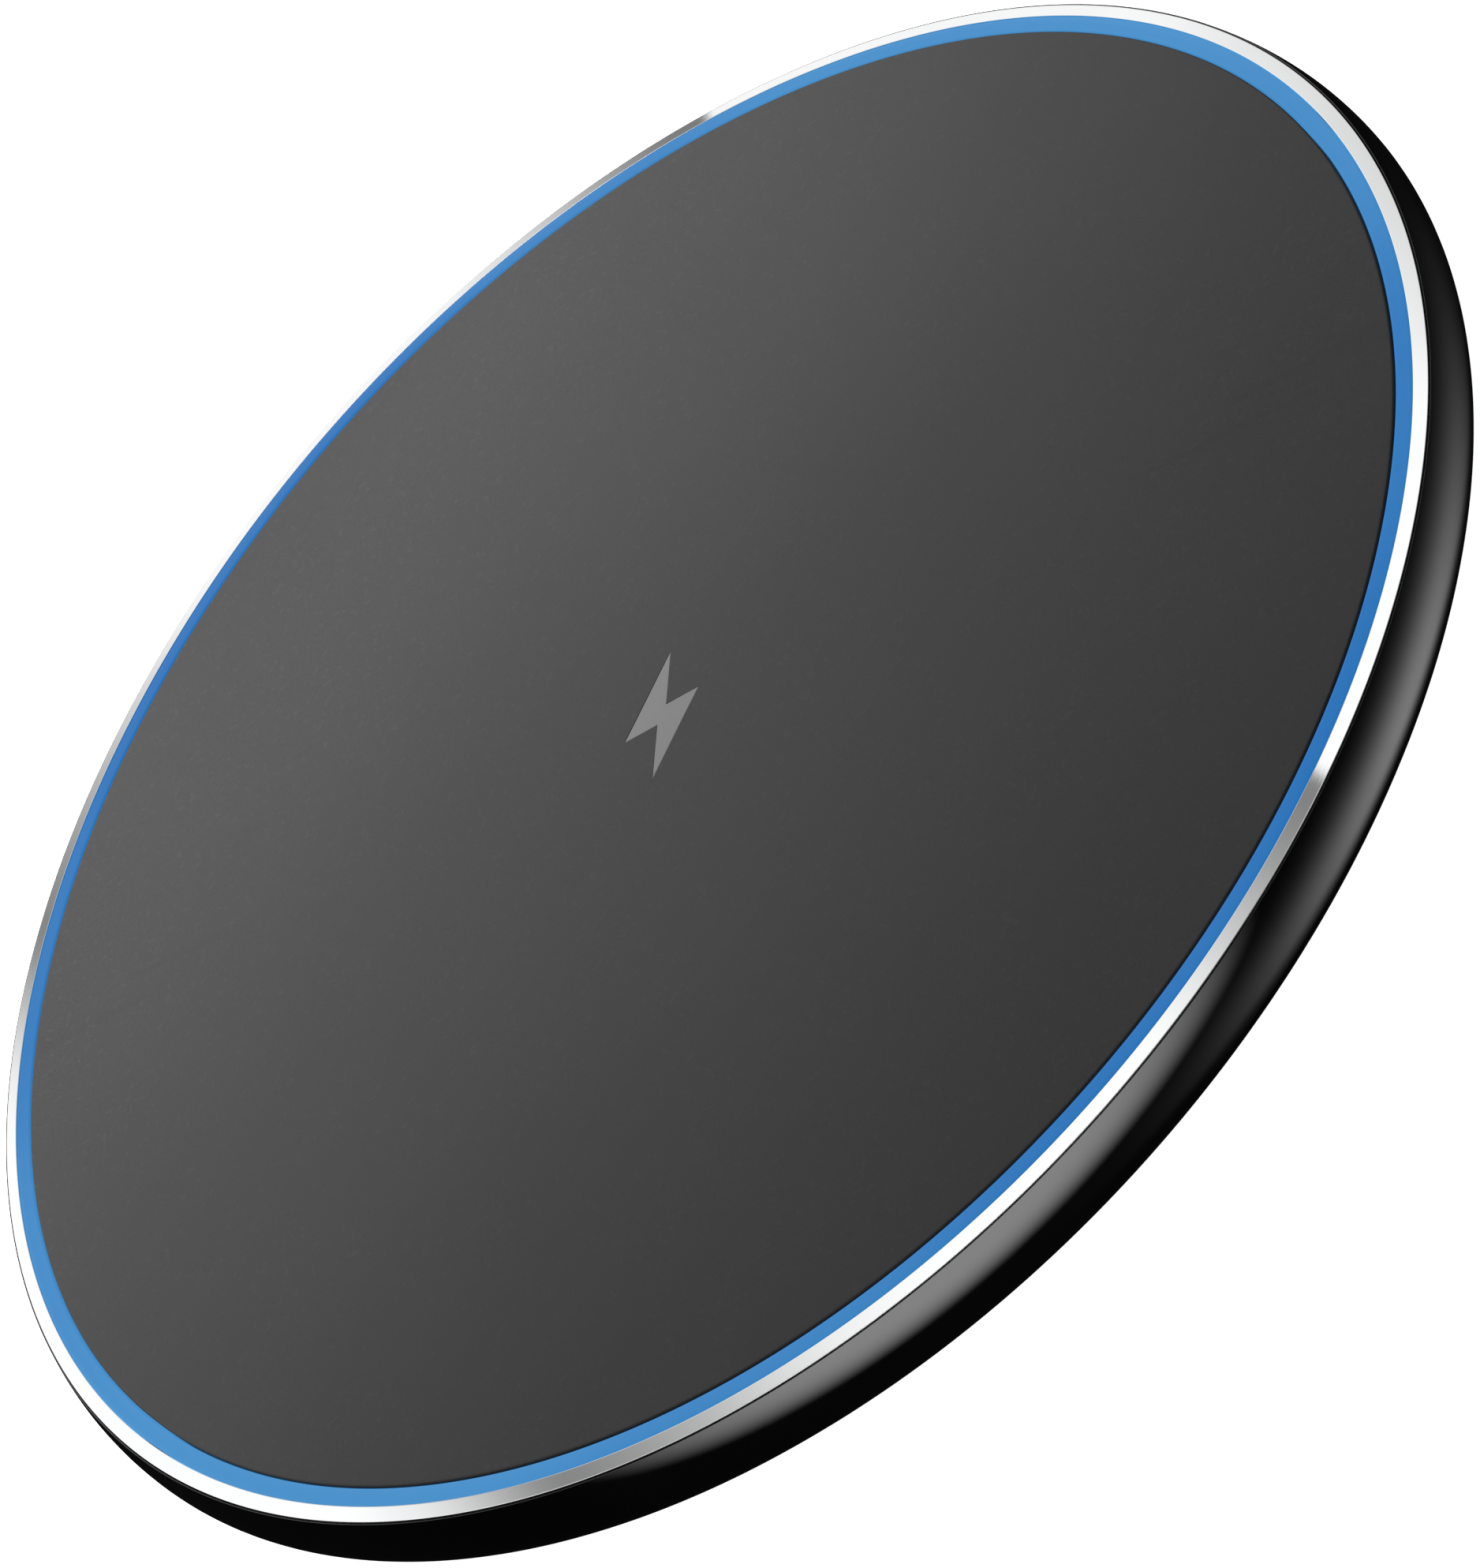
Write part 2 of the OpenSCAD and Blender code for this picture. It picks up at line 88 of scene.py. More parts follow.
pad_r, trim_r, light_r = radius("outer_shell"), radius("trim_ring"), radius("light_ring")
panel_r, base_r, foot_r = radius("top_panel"), radius("base_plate"), radius("foot_ring")
top_z = extent("top_panel")[1][2]
panel_z = extent("top_panel")[0][2]
deck_z = extent("light_ring")[0][2]
seat_z = extent("trim_ring")[0][2]
base_z = extent("outer_shell")[0][2]
lip_z = extent("outer_shell")[1][2]
print("radii", pad_r, trim_r, light_r, panel_r, "and the top's height", top_z)

# %% [markdown]
# The camera looks down on the top at 35 degrees from the front and right, and it is rolled to the left,
# so the disc stands on the slant in a nearly square frame. It is close to the pad, with a long lens, so
# the far rim looks a little smaller than the near one. Three unit vectors say where it looks: right, up
# and back. The pad's middle lies a little off the frame's middle, so the camera is turned by that small
# slope and isn't shifted.

# %% Place the camera
CAMERA_AZIMUTH = 33.0
CAMERA_ELEVATION = 34.57
CAMERA_ROLL = -48.69
CAMERA_DISTANCE = 284.2
LENS = 118.13
OFF_MIDDLE = (-0.01526, 0.01351)
NEAREST_SEEN = 10.0
scene = bpy.context.scene


def compass(azimuth, elevation):
    """The direction (sin a cos e, -cos a cos e, sin e): azimuth 0 is the front, and 90 the right."""
    a, e = np.radians(azimuth), np.radians(elevation)
    return np.array([np.sin(a) * np.cos(e), -np.cos(a) * np.cos(e), np.sin(e)])


def camera_axes():
    """The camera's right, up and back directions as the columns of a rotation."""
    back = compass(CAMERA_AZIMUTH, CAMERA_ELEVATION)
    level = compass(CAMERA_AZIMUTH + 90, 0)
    upright = np.cross(back, level)
    roll = np.radians(CAMERA_ROLL)
    right = np.cos(roll) * level + np.sin(roll) * upright
    up = np.cos(roll) * upright - np.sin(roll) * level
    ahead = np.array([*OFF_MIDDLE, -1.0])
    turn = np.array(Vector((0, 0, -1)).rotation_difference(Vector(ahead)).to_matrix())
    return (turn @ np.array([right, up, back])).T


def into_scene(name, data):
    """A new object that holds the data, linked into the scene."""
    made = bpy.data.objects.new(name, data)
    scene.collection.objects.link(made)
    return made


camera = into_scene("camera", bpy.data.cameras.new("camera"))
camera.data.lens = LENS
camera.data.clip_start = NEAREST_SEEN * MM
place = np.eye(4)
place[:3, :3] = camera_axes()
place[:3, 3] = (np.array([0, 0, top_z]) + CAMERA_DISTANCE * compass(CAMERA_AZIMUTH, CAMERA_ELEVATION)) * MM
camera.matrix_world = Matrix(place.tolist())
scene.camera = camera
print("the camera stands at", *np.round(place[:3, 3], 4), "metres")

# %% [markdown]
# Nearly everything on the pad is turned, so its shape is an outline of radius and height. A moulding
# or a turned ring has no knife edges: each corner is a small arc, and that arc is what catches the
# light as a thin bright line. So an outline is given by its corners, each with a radius, and one
# function puts the arcs in. Edges that are built loop by loop need the same quarter circle as pairs of
# numbers: with each step, one share grows from 0 to 1 and the other shrinks from 1 to 0.

# %% Outlines with rounded corners
ARC_STEPS = 5


def directions(angles):
    """The unit vector (cos a, sin a) for each angle a in radians."""
    return np.stack([np.cos(angles), np.sin(angles)], -1)


def arc(middle, size, start, end, steps):
    """Points middle + size * (cos a, sin a), with the angle a running evenly from start to end degrees."""
    return np.array(middle) + size * directions(np.radians(np.linspace(start, end, steps + 1)))


# The pairs (1 - cos a, 1 - sin a) for angles from 0 to 90 degrees.
QUARTER = [tuple(1 - pair) for pair in arc((0, 0), 1, 0, 90, ARC_STEPS)]


def unit(vector):
    """The vector divided by its own length."""
    return vector / np.linalg.norm(vector)


def fillet(before, corner, after, size):
    """The arc that touches both sides of a corner. It starts at size / tan(half the corner's angle)
    from the corner, and a support point on each side, as far again, keeps the flat shading flat."""
    if size == 0:
        return corner[None]
    one, two = unit(before - corner), unit(after - corner)
    half = np.arccos(np.clip(one @ two, -1, 1)) / 2
    reach = size / np.tan(half)
    middle = corner + unit(one + two) * size / np.sin(half)
    turn = np.pi - 2 * half
    share = np.linspace(0, 1, ARC_STEPS + 1)[:, None]
    first, last = corner + one * reach - middle, corner + two * reach - middle
    sweep = (np.sin((1 - share) * turn) * first + np.sin(share * turn) * last) / np.sin(turn)
    ends = [corner + side * min(2 * reach, 0.5 * np.linalg.norm(to - corner))
            for side, to in ((one, before), (two, after))]
    return np.vstack([ends[0], middle + sweep, ends[1]])


def rounded(*corners):
    """A closed outline through corners given as (radius from the axis, height, corner radius)."""
    rows = np.array(corners, float)
    points, sizes = rows[:, :2], rows[:, 2]
    turns = zip(np.roll(points, 1, 0), points, np.roll(points, -1, 0), sizes)
    return np.vstack([fillet(*turn) for turn in turns])


print("a square corner becomes", len(fillet(np.eye(2)[0], np.zeros(2), np.eye(2)[1], 0.1)), "points")

# %% [markdown]
# A surface here is a stack of loops: each loop is a ring of points, and faces join each loop to the
# next. Turning an outline gives such a stack, with one loop for each point of the outline. If the
# outline closes, the last loop joins the first and the solid is a ring. If not, a point in the middle
# of the first and the last loop closes the ends. Blender makes each mesh face outwards, because a
# closed solid has only one outside.

# %% From loops to a solid
COLUMN_STEP = 0.5
TURN = np.radians(np.arange(0, 360, COLUMN_STEP))


def turned(outline, angles=TURN):
    """Loops of x = r cos a, y = r sin a, z = height, for each (r, height) of the outline."""
    r, height = outline.T
    x, y = np.outer(r, np.cos(angles)), np.outer(r, np.sin(angles))
    return np.stack([x, y, np.broadcast_to(height[:, None], x.shape)], -1)


def strips(loops):
    """Faces between neighbouring rows of point numbers; each row closes on itself."""
    beside = np.roll(loops, -1, 1)
    return np.stack([loops[:-1], loops[1:], beside[1:], beside[:-1]], -1).reshape(-1, 4)


def fan(loop, middle):
    """Triangles from a loop of point numbers to one point in its middle."""
    return np.stack([loop, np.roll(loop, -1), np.full_like(loop, middle)], -1)


def solid(loops, ring=False):
    """Points and faces of a stack of loops, as a ring or with its two ends closed."""
    count, width = loops.shape[:2]
    points = loops.reshape(-1, 3)
    numbers = np.arange(count * width).reshape(count, width)
    if ring:
        return points, [strips(np.vstack([numbers, numbers[:1]]))]
    ends = loops[[0, -1]].mean(1)
    caps = [fan(numbers[0], len(points)), fan(numbers[-1], len(points) + 1)]
    return np.vstack([points, ends]), [strips(numbers), *caps]


def copies(part, places):
    """The same solid at several (x, y) places, as one mesh of separate solids."""
    points, faces = part
    moved = [points + [x, y, 0] for x, y in places]
    shifted = [group + i * len(points) for i in range(len(places)) for group in faces]
    return np.vstack(moved), shifted


def smooth_mesh(name, part):
    """A Blender mesh in metres with smooth shading and outward faces."""
    points, faces = part
    mesh = bpy.data.meshes.new(name)
    mesh.from_pydata(points * MM, [], [face for group in faces for face in group.tolist()])
    work = bmesh.new()
    work.from_mesh(mesh)
    bmesh.ops.recalc_face_normals(work, faces=work.faces)
    work.to_mesh(mesh)
    work.free()
    mesh.polygons.foreach_set("use_smooth", np.ones(len(mesh.polygons), bool))
    return mesh


print("a turned surface has", len(TURN), "columns")
slot_of = {part["node"]: part["material_slot"] for part in frame["record"]["subparts"]}


def piece(name, part, node):
    """Puts a solid into the scene in place of a node of the frame."""
    made = into_scene(name, smooth_mesh(name, part))
    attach(made, "root")
    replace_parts(made, node)
    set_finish(made, slot_of[node])
    print(name, "has", len(made.data.polygons), "faces")
    return made


# %% [markdown]
# ## The trim ring
# On the real pad this is a thin aluminium ring, turned on a lathe with a diamond tool, so it shines
# like a mirror. Its head hides the joint with the shell and its foot locates it. A plain disc with a
# metal finish would do from far away, but the ring's edges have to be true arcs to catch the light.
# Its face is a flat cone that falls outwards by a tenth of a millimetre. One slope all the way across
# shows one stripe of the room at each place round the ring, which is what makes it look like metal.

# %% The trim ring
TRIM_FALL = 0.1
TRIM_HEAD = 0.35
TRIM_FOOT = 0.5
SLIP = 0.03
TRIM_EDGE = 0.018

trim_in = light_r + SLIP
trim_out_z = top_z - TRIM_FALL
trim_ring = piece("polished_trim_ring", solid(turned(rounded(
    (trim_in, seat_z, TRIM_EDGE), (light_r + TRIM_FOOT, seat_z, TRIM_EDGE),
    (light_r + TRIM_FOOT, trim_out_z - TRIM_HEAD, TRIM_EDGE), (trim_r, trim_out_z - TRIM_HEAD, TRIM_EDGE),
    (trim_r, trim_out_z, TRIM_EDGE), (trim_in, top_z, TRIM_EDGE))), ring=True), "trim_ring")

# %% [markdown]
# ## The light ring
# The light ring is one clear blue moulding: an upright rib that shows, on a flat flange that reaches
# in over the lights on the board. It guides their light up to the rib. Only the rib's crowned top is
# seen, so that is where the outline has its care.

# %% The light ring
FLANGE_R = 38.8
FLANGE_BEVEL = 0.4
FLANGE_EDGE = 0.05
TAPE_T = 0.1
RIB_EDGE = 0.12
RIB_CROWN = 0.02

flange_z = panel_z - TAPE_T
rib_in = panel_r + 2 * SLIP
light_ring = piece("light_guide_ring", solid(turned(rounded(
    (FLANGE_R + FLANGE_BEVEL, deck_z, FLANGE_EDGE), (light_r, deck_z, FLANGE_EDGE),
    (light_r, top_z - RIB_CROWN, RIB_EDGE), ((rib_in + light_r) / 2, top_z, 0),
    (rib_in, top_z - RIB_CROWN, RIB_EDGE), (rib_in, flange_z, FLANGE_EDGE),
    (FLANGE_R, flange_z, FLANGE_EDGE), (FLANGE_R, deck_z + FLANGE_BEVEL, FLANGE_EDGE))), ring=True),
    "light_ring")

# %% [markdown]
# ## The panel and its mark
# The panel is a moulded disc with a shallow pocket in the shape of a bolt, and the printed mark fills
# the pocket. Seen from the middle of the disc, each direction meets the bolt's outline once. So the
# outline can be a function of the angle, and the panel's top is a set of loops that change from the
# bolt into a circle. The bolt's own corner angles are added to the even ones, so its tips stay sharp.
# Its tip, wings and notches are shares of its half height.

# %% The bolt's outline
MARK_DEPTH = 0.15
BOLT_SHARES = (0.14, 0.14, 0.07)

mark_w, mark_h = extent("charge_mark")[1][:2]
tip_x, wing_y, notch_x = mark_h * np.array(BOLT_SHARES)
half_bolt = np.array([[mark_w, wing_y], [notch_x, wing_y], [tip_x, mark_h]])
bolt = np.vstack([half_bolt, -half_bolt])


def bolt_reach(angles):
    """Distance from the middle to the outline: a ray meets the side from P to Q at
    cross(P, Q - P) / cross(direction, Q - P)."""
    corner_angles = np.unwrap(np.arctan2(bolt[:, 1], bolt[:, 0]))
    turned_angles = corner_angles[0] + (angles - corner_angles[0] + 1e-9) % (2 * np.pi)
    side = np.clip(np.searchsorted(corner_angles, turned_angles, "right") - 1, 0, len(bolt) - 1)
    start, along = bolt[side], np.roll(bolt, -1, 0)[side] - bolt[side]
    ray = directions(angles)
    return ((start[:, 0] * along[:, 1] - start[:, 1] * along[:, 0])
            / (ray[:, 0] * along[:, 1] - ray[:, 1] * along[:, 0]))


bolt_angles = np.sort(np.concatenate([TURN, np.arctan2(bolt[:, 1], bolt[:, 0]) % (2 * np.pi)]))
bolt_r = bolt_reach(bolt_angles)
print("the mark reaches from", round(bolt_r.min(), 2), "to", round(bolt_r.max(), 2), "mm")

# %% [markdown]
# Each loop below is a radius, which may change with the angle, and a height. The panel starts at its
# underside, climbs its rim, crosses the top to the bolt, and goes down into the pocket.

# %% The panel and the mark
PANEL_EDGE = 0.12
POCKET_EDGE = 0.02
MARK_GAP = 0.012
RIM_FLAT = 0.8
TOP_LOOPS = 9


def polar_loops(*rows):
    """Loops at (radius, height), where a radius is one number or one number for each angle."""
    ones = np.ones(len(bolt_angles))
    x_y = directions(bolt_angles)
    return np.stack([np.hstack([(r * ones)[:, None] * x_y, (z * ones)[:, None]]) for r, z in rows])


def closing(count):
    """Shares from 1 to 0 that lie closer together towards 0."""
    return np.linspace(1, 0, count) ** 1.5


low_in, low_out = np.array([panel_r - 1, panel_z]), np.array([panel_r, panel_z])
high_out, high_in = np.array([panel_r, top_z]), np.array([panel_r - 1, top_z])
panel_foot = fillet(low_in, low_out, high_out, PANEL_EDGE)
panel_rim = fillet(low_out, high_out, high_in, PANEL_EDGE)
top_face = [(bolt_r + 3 * POCKET_EDGE + (panel_r - RIM_FLAT - bolt_r) * share, top_z)
            for share in closing(TOP_LOOPS)] + [(bolt_r + POCKET_EDGE, top_z)]
floor_z = top_z - MARK_DEPTH
pocket = [(bolt_r, top_z - POCKET_EDGE), (bolt_r, floor_z), (bolt_r * 0.5, floor_z)]
panel_loops = polar_loops(*panel_foot, *panel_rim, *top_face, *pocket)
panel = piece("satin_top_panel", solid(panel_loops), "top_panel")

mark_r = bolt_r - MARK_GAP
mark_top = top_z - MARK_GAP
mark = piece("printed_bolt_mark", solid(polar_loops(
    (mark_r * 0.5, floor_z), (mark_r, floor_z), (mark_r, mark_top - POCKET_EDGE),
    (mark_r - POCKET_EDGE, mark_top), (mark_r - 3 * POCKET_EDGE, mark_top), (mark_r * 0.5, mark_top))),
    "charge_mark")

# %% [markdown]
# ## The outer shell
# The shell is one glossy moulding. From its lip the side swells out on a wide arc to the pad's widest
# line, turns under on a tighter arc, and runs in on a slope to the base. Inside, a ledge carries the
# light ring and a stop carries the base plate. The outline goes once round all of that: up the
# outside, over the lip, and down the inside.

# %% The shell's sizes
EDGE_DROP = 2.73
EDGE_R = 2.25
SLOPE = 35.0
WALL = 1.7
LIP_GAP = 0.03
LIP_W = 0.12
LIP_FALL = 0.08
LIP_EDGE = 0.015
LEDGE_R = 46.4
LEDGE_T = 0.6
STOP_T = 0.5
STOP_W = 1.8
BASE_T = 1.2
BASE_GAP = 0.15

edge_z = top_z - EDGE_DROP
edge_x = pad_r - EDGE_R
slope = np.radians(SLOPE)
turn_x, turn_z = edge_x + EDGE_R * np.sin(slope), edge_z - EDGE_R * np.cos(slope)
under_x = turn_x - (turn_z - base_z) / np.tan(slope)
upper_run = pad_r - trim_r - LIP_W
upper_rise = lip_z - edge_z
upper_r = (upper_run ** 2 + upper_rise ** 2) / (2 * upper_run)
wall_x = pad_r - WALL
inner_x, inner_z = under_x - WALL * np.sin(slope), base_z + WALL * np.cos(slope)
bend_z = inner_z + (wall_x - inner_x) * np.tan(slope)
stop_z = base_z + BASE_T
cavity_z = stop_z + STOP_T
ledge_z = deck_z - LEDGE_T


def outer_radius(z):
    """The shell's outer radius at a height: the slope, then the lower arc, then the upper arc."""
    low = under_x + (z - base_z) / np.tan(slope)
    middle = edge_x + np.sqrt(np.clip(EDGE_R ** 2 - (z - edge_z) ** 2, 0, None))
    high = pad_r - upper_r + np.sqrt(np.clip(upper_r ** 2 - (z - edge_z) ** 2, 0, None))
    return np.where(z < turn_z, low, np.where(z < edge_z, middle, high))


def inner_radius(z):
    """The cavity's radius at a height: a slope along the outer one, then upright."""
    return np.minimum(inner_x + (z - inner_z) / np.tan(slope), wall_x)


print("the underside's edge is at", round(under_x, 2), "and the wall stands up from", round(bend_z, 2))

# %% [markdown]
# The socket's opening breaks both walls of the shell. Its rows and columns of faces are left out of
# the turned grid, inside and outside, and a patch of loops joins the two windows through the wall. To
# make that simple, both windows are the same number of faces high. The columns are closer together
# near the socket, so its corners come out round. The lip falls inwards a little, so that a fine dark
# line parts the metal from the gloss.

# %% The shell's outline and columns
WINDOW_DEG = 10.4
WINDOW_STEP = 0.2
WINDOW_LOW = 1.1
WINDOW_HIGH = 7.3
WINDOW_ROWS = 32
UPRIGHT_ROWS = 5
LIP_ROWS = 6
UNDER_EDGE = 0.35

under = fillet(np.array([base_r, base_z]), np.array([under_x, base_z]), np.array([turn_x, turn_z]),
               UNDER_EDGE)
window_z = np.linspace(WINDOW_LOW, WINDOW_HIGH, WINDOW_ROWS + 1)
above_z = lip_z - (lip_z - WINDOW_HIGH) * closing(LIP_ROWS + 1)[1:]
outside_z = np.concatenate([window_z, above_z])
side_wall = np.stack([outer_radius(outside_z), outside_z], -1)
lip_inside = np.array([trim_r + LIP_GAP, lip_z - LIP_FALL])
outside = np.vstack([side_wall[:-1], fillet(side_wall[-2], side_wall[-1], lip_inside, LIP_EDGE)])
trim_head_z = trim_out_z - TRIM_HEAD
seats = np.array([
    lip_inside, [trim_r + LIP_GAP, trim_head_z], [light_r + TRIM_FOOT + LIP_GAP, trim_head_z],
    [light_r + TRIM_FOOT + LIP_GAP, seat_z], [light_r + LIP_GAP, seat_z], [light_r + LIP_GAP, deck_z],
    [LEDGE_R, deck_z], [LEDGE_R, ledge_z]])
upright_z = np.linspace(ledge_z, bend_z, UPRIGHT_ROWS + 1)
sloped_z = np.linspace(bend_z, cavity_z, WINDOW_ROWS - UPRIGHT_ROWS + 1)
inside_z = np.concatenate([upright_z, sloped_z[1:]])
inside = np.stack([inner_radius(inside_z), inside_z], -1)
base_open_r = base_r + BASE_GAP
stop = np.array([[base_r - STOP_W, cavity_z], [base_r - STOP_W, stop_z], [base_open_r, stop_z],
                 [base_open_r, base_z]])
shell_outline = np.vstack([under, outside, seats, inside, stop])

half_window = round(WINDOW_DEG / WINDOW_STEP)
near_angles = np.arange(-half_window, half_window + 1) * WINDOW_STEP
far_angles = np.arange(WINDOW_DEG, 360 - WINDOW_DEG, COLUMN_STEP)[1:]
columns = np.radians(90 - np.concatenate([near_angles, far_angles]))
print("the outline has", len(shell_outline), "points and the shell", len(columns), "columns")

# %% [markdown]
# The socket lies in a flat face with rounded corners. High up, the face is sunk a little into the
# side, and low down it stands out of the slope, as a small block. Both are the same patch: loops run
# from the window's edge over the shell's skin to the block's outline, along its walls to the flat
# face, over the mouth's rounded edge and through the tunnel to the inside. Each loop is one outline
# seen from the back, a rounded rectangle, and only its depth changes.

# %% A rounded rectangle by direction
socket_low, socket_high = extent("usb_shell")
socket_z = (socket_low[2] + socket_high[2]) / 2
socket_front = socket_high[1]
SOCKET_W = 8.94
socket_h = socket_high[2] - socket_low[2]
MOUTH_GAP = 0.15
MOUTH_EDGE = 0.15
PORT_W = 13.0
PORT_H = 4.3
PORT_CORNER = 0.9
PORT_EDGE = 0.12
PORT_AHEAD = 0.1
port_face = socket_front + PORT_AHEAD


def reach(rays, half_w, half_h, corner):
    """Distance along each ray to a rounded rectangle. On the flats it is half_w / |x| or half_h / |z|,
    and in a corner it is the far root of the corner circle's equation."""
    x, z = np.abs(rays).T
    corner_x, corner_z = half_w - corner, half_h - corner
    along = x * corner_x + z * corner_z
    on_arc = along + np.sqrt(np.clip(along ** 2 - corner_x ** 2 - corner_z ** 2 + corner ** 2, 0, None))
    on_side, on_top = half_w / np.maximum(x, 1e-9), half_h / np.maximum(z, 1e-9)
    return np.where(on_side * z <= corner_z, on_side, np.where(on_top * x <= corner_x, on_top, on_arc))


def outline(rays, size, grow=0.0):
    """Points (x, z) of a rounded rectangle (width, height, corner) about the socket's middle, grown
    by a margin all round."""
    width, height, corner = size
    far = reach(rays, width / 2 + grow, height / 2 + grow, corner + grow)
    return rays * far[:, None] + [0, socket_z]


def at_depth(x_z, y):
    """Points of a loop from its (x, z) and its y, which may be one number."""
    return np.stack([x_z[:, 0], np.broadcast_to(y, len(x_z)), x_z[:, 1]], -1)


PORT = (PORT_W, PORT_H, PORT_CORNER)
MOUTH = (SOCKET_W + 2 * MOUTH_GAP, socket_h + 2 * MOUTH_GAP, socket_h / 2 + MOUTH_GAP)
print("the mouth is", MOUTH[0], "by", round(MOUTH[1], 2), "mm, at a height of", round(socket_z, 2), "mm")

# %% [markdown]
# The board carries the socket on a tongue, and the tongue needs room in the wall behind the port. A
# cut through the mesh would leave ragged faces. Instead, the points of the turned grid that lie in the
# way are pushed outwards, up to a flat wall, so the grid keeps its rows and columns.

# %% The shell's grid, with its notches inside
NOTCH_R = 44.9
NOTCH_W = 11.6
RAISE_W = 10.4
RAISE_GAP = 0.2

grid = turned(shell_outline, columns)
first_inside = len(under) + len(outside) + len(seats)
first_stop = first_inside + len(inside)
in_notch = np.abs(grid[:, :, 0]) < NOTCH_W / 2
in_notch &= grid[:, :, 1] > 0
in_notch[:first_inside] = False
in_notch[first_stop + 2:] = False
aside = NOTCH_R - grid[:, :, 1]
grid[:, :, 1] += np.where(in_notch & (aside > 0), aside, 0)
grid[first_stop, in_notch[first_stop], 2] = (stop_z + cavity_z) / 2
raised = (np.abs(grid[first_inside, :, 0]) < RAISE_W / 2) & (grid[first_inside, :, 1] > 0)
grid[first_inside - 1:first_inside + 1, raised, 2] = socket_high[2] + RAISE_GAP
print(in_notch.sum(), "points inside make room for the tongue")

# %% [markdown]
# Now the patch itself. Its rays leave the middle of the port and each passes through one point of the
# window's edge, so every loop has as many points as the window and the two meet with no gap. The loops
# are close together where the shape bends and further apart where it is flat.

# %% The patch round the socket
numbers = np.arange(grid.shape[0] * grid.shape[1]).reshape(grid.shape[:2])
window_columns = np.arange(len(near_angles))


def window_loop(low_row, high_row):
    """Point numbers round a window: along its low row, up, back along its high row, and down."""
    rising = np.arange(low_row, high_row, np.sign(high_row - low_row))
    last = window_columns[-1]
    return np.concatenate([
        numbers[low_row, :last], numbers[rising, last],
        numbers[high_row, last:0:-1], numbers[rising[::-1] + np.sign(high_row - low_row), 0]])


def skin(x_z):
    """A loop laid on the shell's outside: y is the root of radius squared less x squared."""
    return at_depth(x_z, np.sqrt(outer_radius(x_z[:, 1]) ** 2 - x_z[:, 0] ** 2))


def wall_inside(x_z):
    """A loop laid on the cavity's wall, or on the notch for the board where that lies further out."""
    y = np.sqrt(inner_radius(x_z[:, 1]) ** 2 - x_z[:, 0] ** 2)
    return at_depth(x_z, np.maximum(y, NOTCH_R))


def between(one, two, shares):
    """Loops part of the way from one loop to another."""
    return [one + (two - one) * share for share in shares]


outer_window = window_loop(len(under), len(under) + WINDOW_ROWS)
inner_window = window_loop(first_stop - 1, first_inside)
flat_grid = grid.reshape(-1, 3)
window_edge = flat_grid[outer_window][:, ::2]
rays = window_edge - [0, socket_z]
rays /= np.linalg.norm(rays, axis=1)[:, None]

step = port_face - skin(outline(rays, PORT))[:, 1]
bend = np.clip(0.4 * step, -PORT_EDGE, PORT_EDGE)
near_port = outline(rays, PORT, 3 * PORT_EDGE)
loops = [skin(loop) for loop in between(window_edge, near_port, np.linspace(0, 1, 9)[1:])]
loops += [skin(outline(rays, PORT, share * PORT_EDGE)) for share in (2.0, 1.5, 1.2)]
for grown, left in QUARTER:
    foot_of_wall = skin(outline(rays, PORT, PORT_EDGE * left))
    loops.append(foot_of_wall + np.outer(bend * grown, [0, 1, 0]))
for grown, left in QUARTER:
    loops.append(at_depth(outline(rays, PORT, -PORT_EDGE * grown), port_face - bend * left))
face_ends = outline(rays, PORT, -1.25 * PORT_EDGE), outline(rays, MOUTH, 1.2 * MOUTH_EDGE)
face = between(*face_ends, (0, 0.3, 0.7, 1))
loops += [at_depth(loop, port_face) for loop in face]
for grown, left in QUARTER:
    loops.append(at_depth(outline(rays, MOUTH, MOUTH_EDGE * left), port_face - MOUTH_EDGE * grown))
tunnel_end = wall_inside(outline(rays, MOUTH))
loops += between(loops[-1], tunnel_end, (0.3, 0.7, 1))
loops += between(tunnel_end, flat_grid[inner_window], (0.4, 0.8))

kept = np.ones(grid.shape[:2], bool)
kept[len(under):len(under) + WINDOW_ROWS, window_columns[:-1]] = False
kept[first_inside:first_stop - 1, window_columns[:-1]] = False
shell_faces = strips(np.vstack([numbers, numbers[:1]]))[kept.ravel()]
patch_numbers = numbers.size + np.arange(len(loops) * len(rays)).reshape(len(loops), len(rays))
patch_faces = strips(np.vstack([outer_window, patch_numbers, inner_window]))
shell_points = np.vstack([flat_grid, np.vstack(loops)])
used, order = np.unique(np.concatenate([shell_faces.ravel(), patch_faces.ravel()]), return_inverse=True)
shell = piece("glossy_outer_shell", (shell_points[used], [order.reshape(-1, 4)]), "outer_shell")

# %% [markdown]
# ## The socket
# A USB-C socket is a steel tube, bent from strip to a slot with round ends, about a flat tongue with
# twelve contacts on each face. The cable's plug slides over the tongue and into the tube. The
# tube's lip is rounded, outside and in, and four tabs at its foot are soldered to the board.

# %% The steel tube
TUBE_WALL = 0.28
TUBE_LIP = 0.1
TUBE_BACK_EDGE = 0.3
TAB_OUT = 0.6
TAB_L = 1.2
TAB_T = 0.3
TAB_CORNER = 0.08
TAB_EDGE = 0.06
TAB_BACK = 0.3
RAYS = arc((0, 0), 1, 0, 358.5, 239)
TUBE = (SOCKET_W, socket_h, socket_h / 2)
socket_back = socket_low[1]

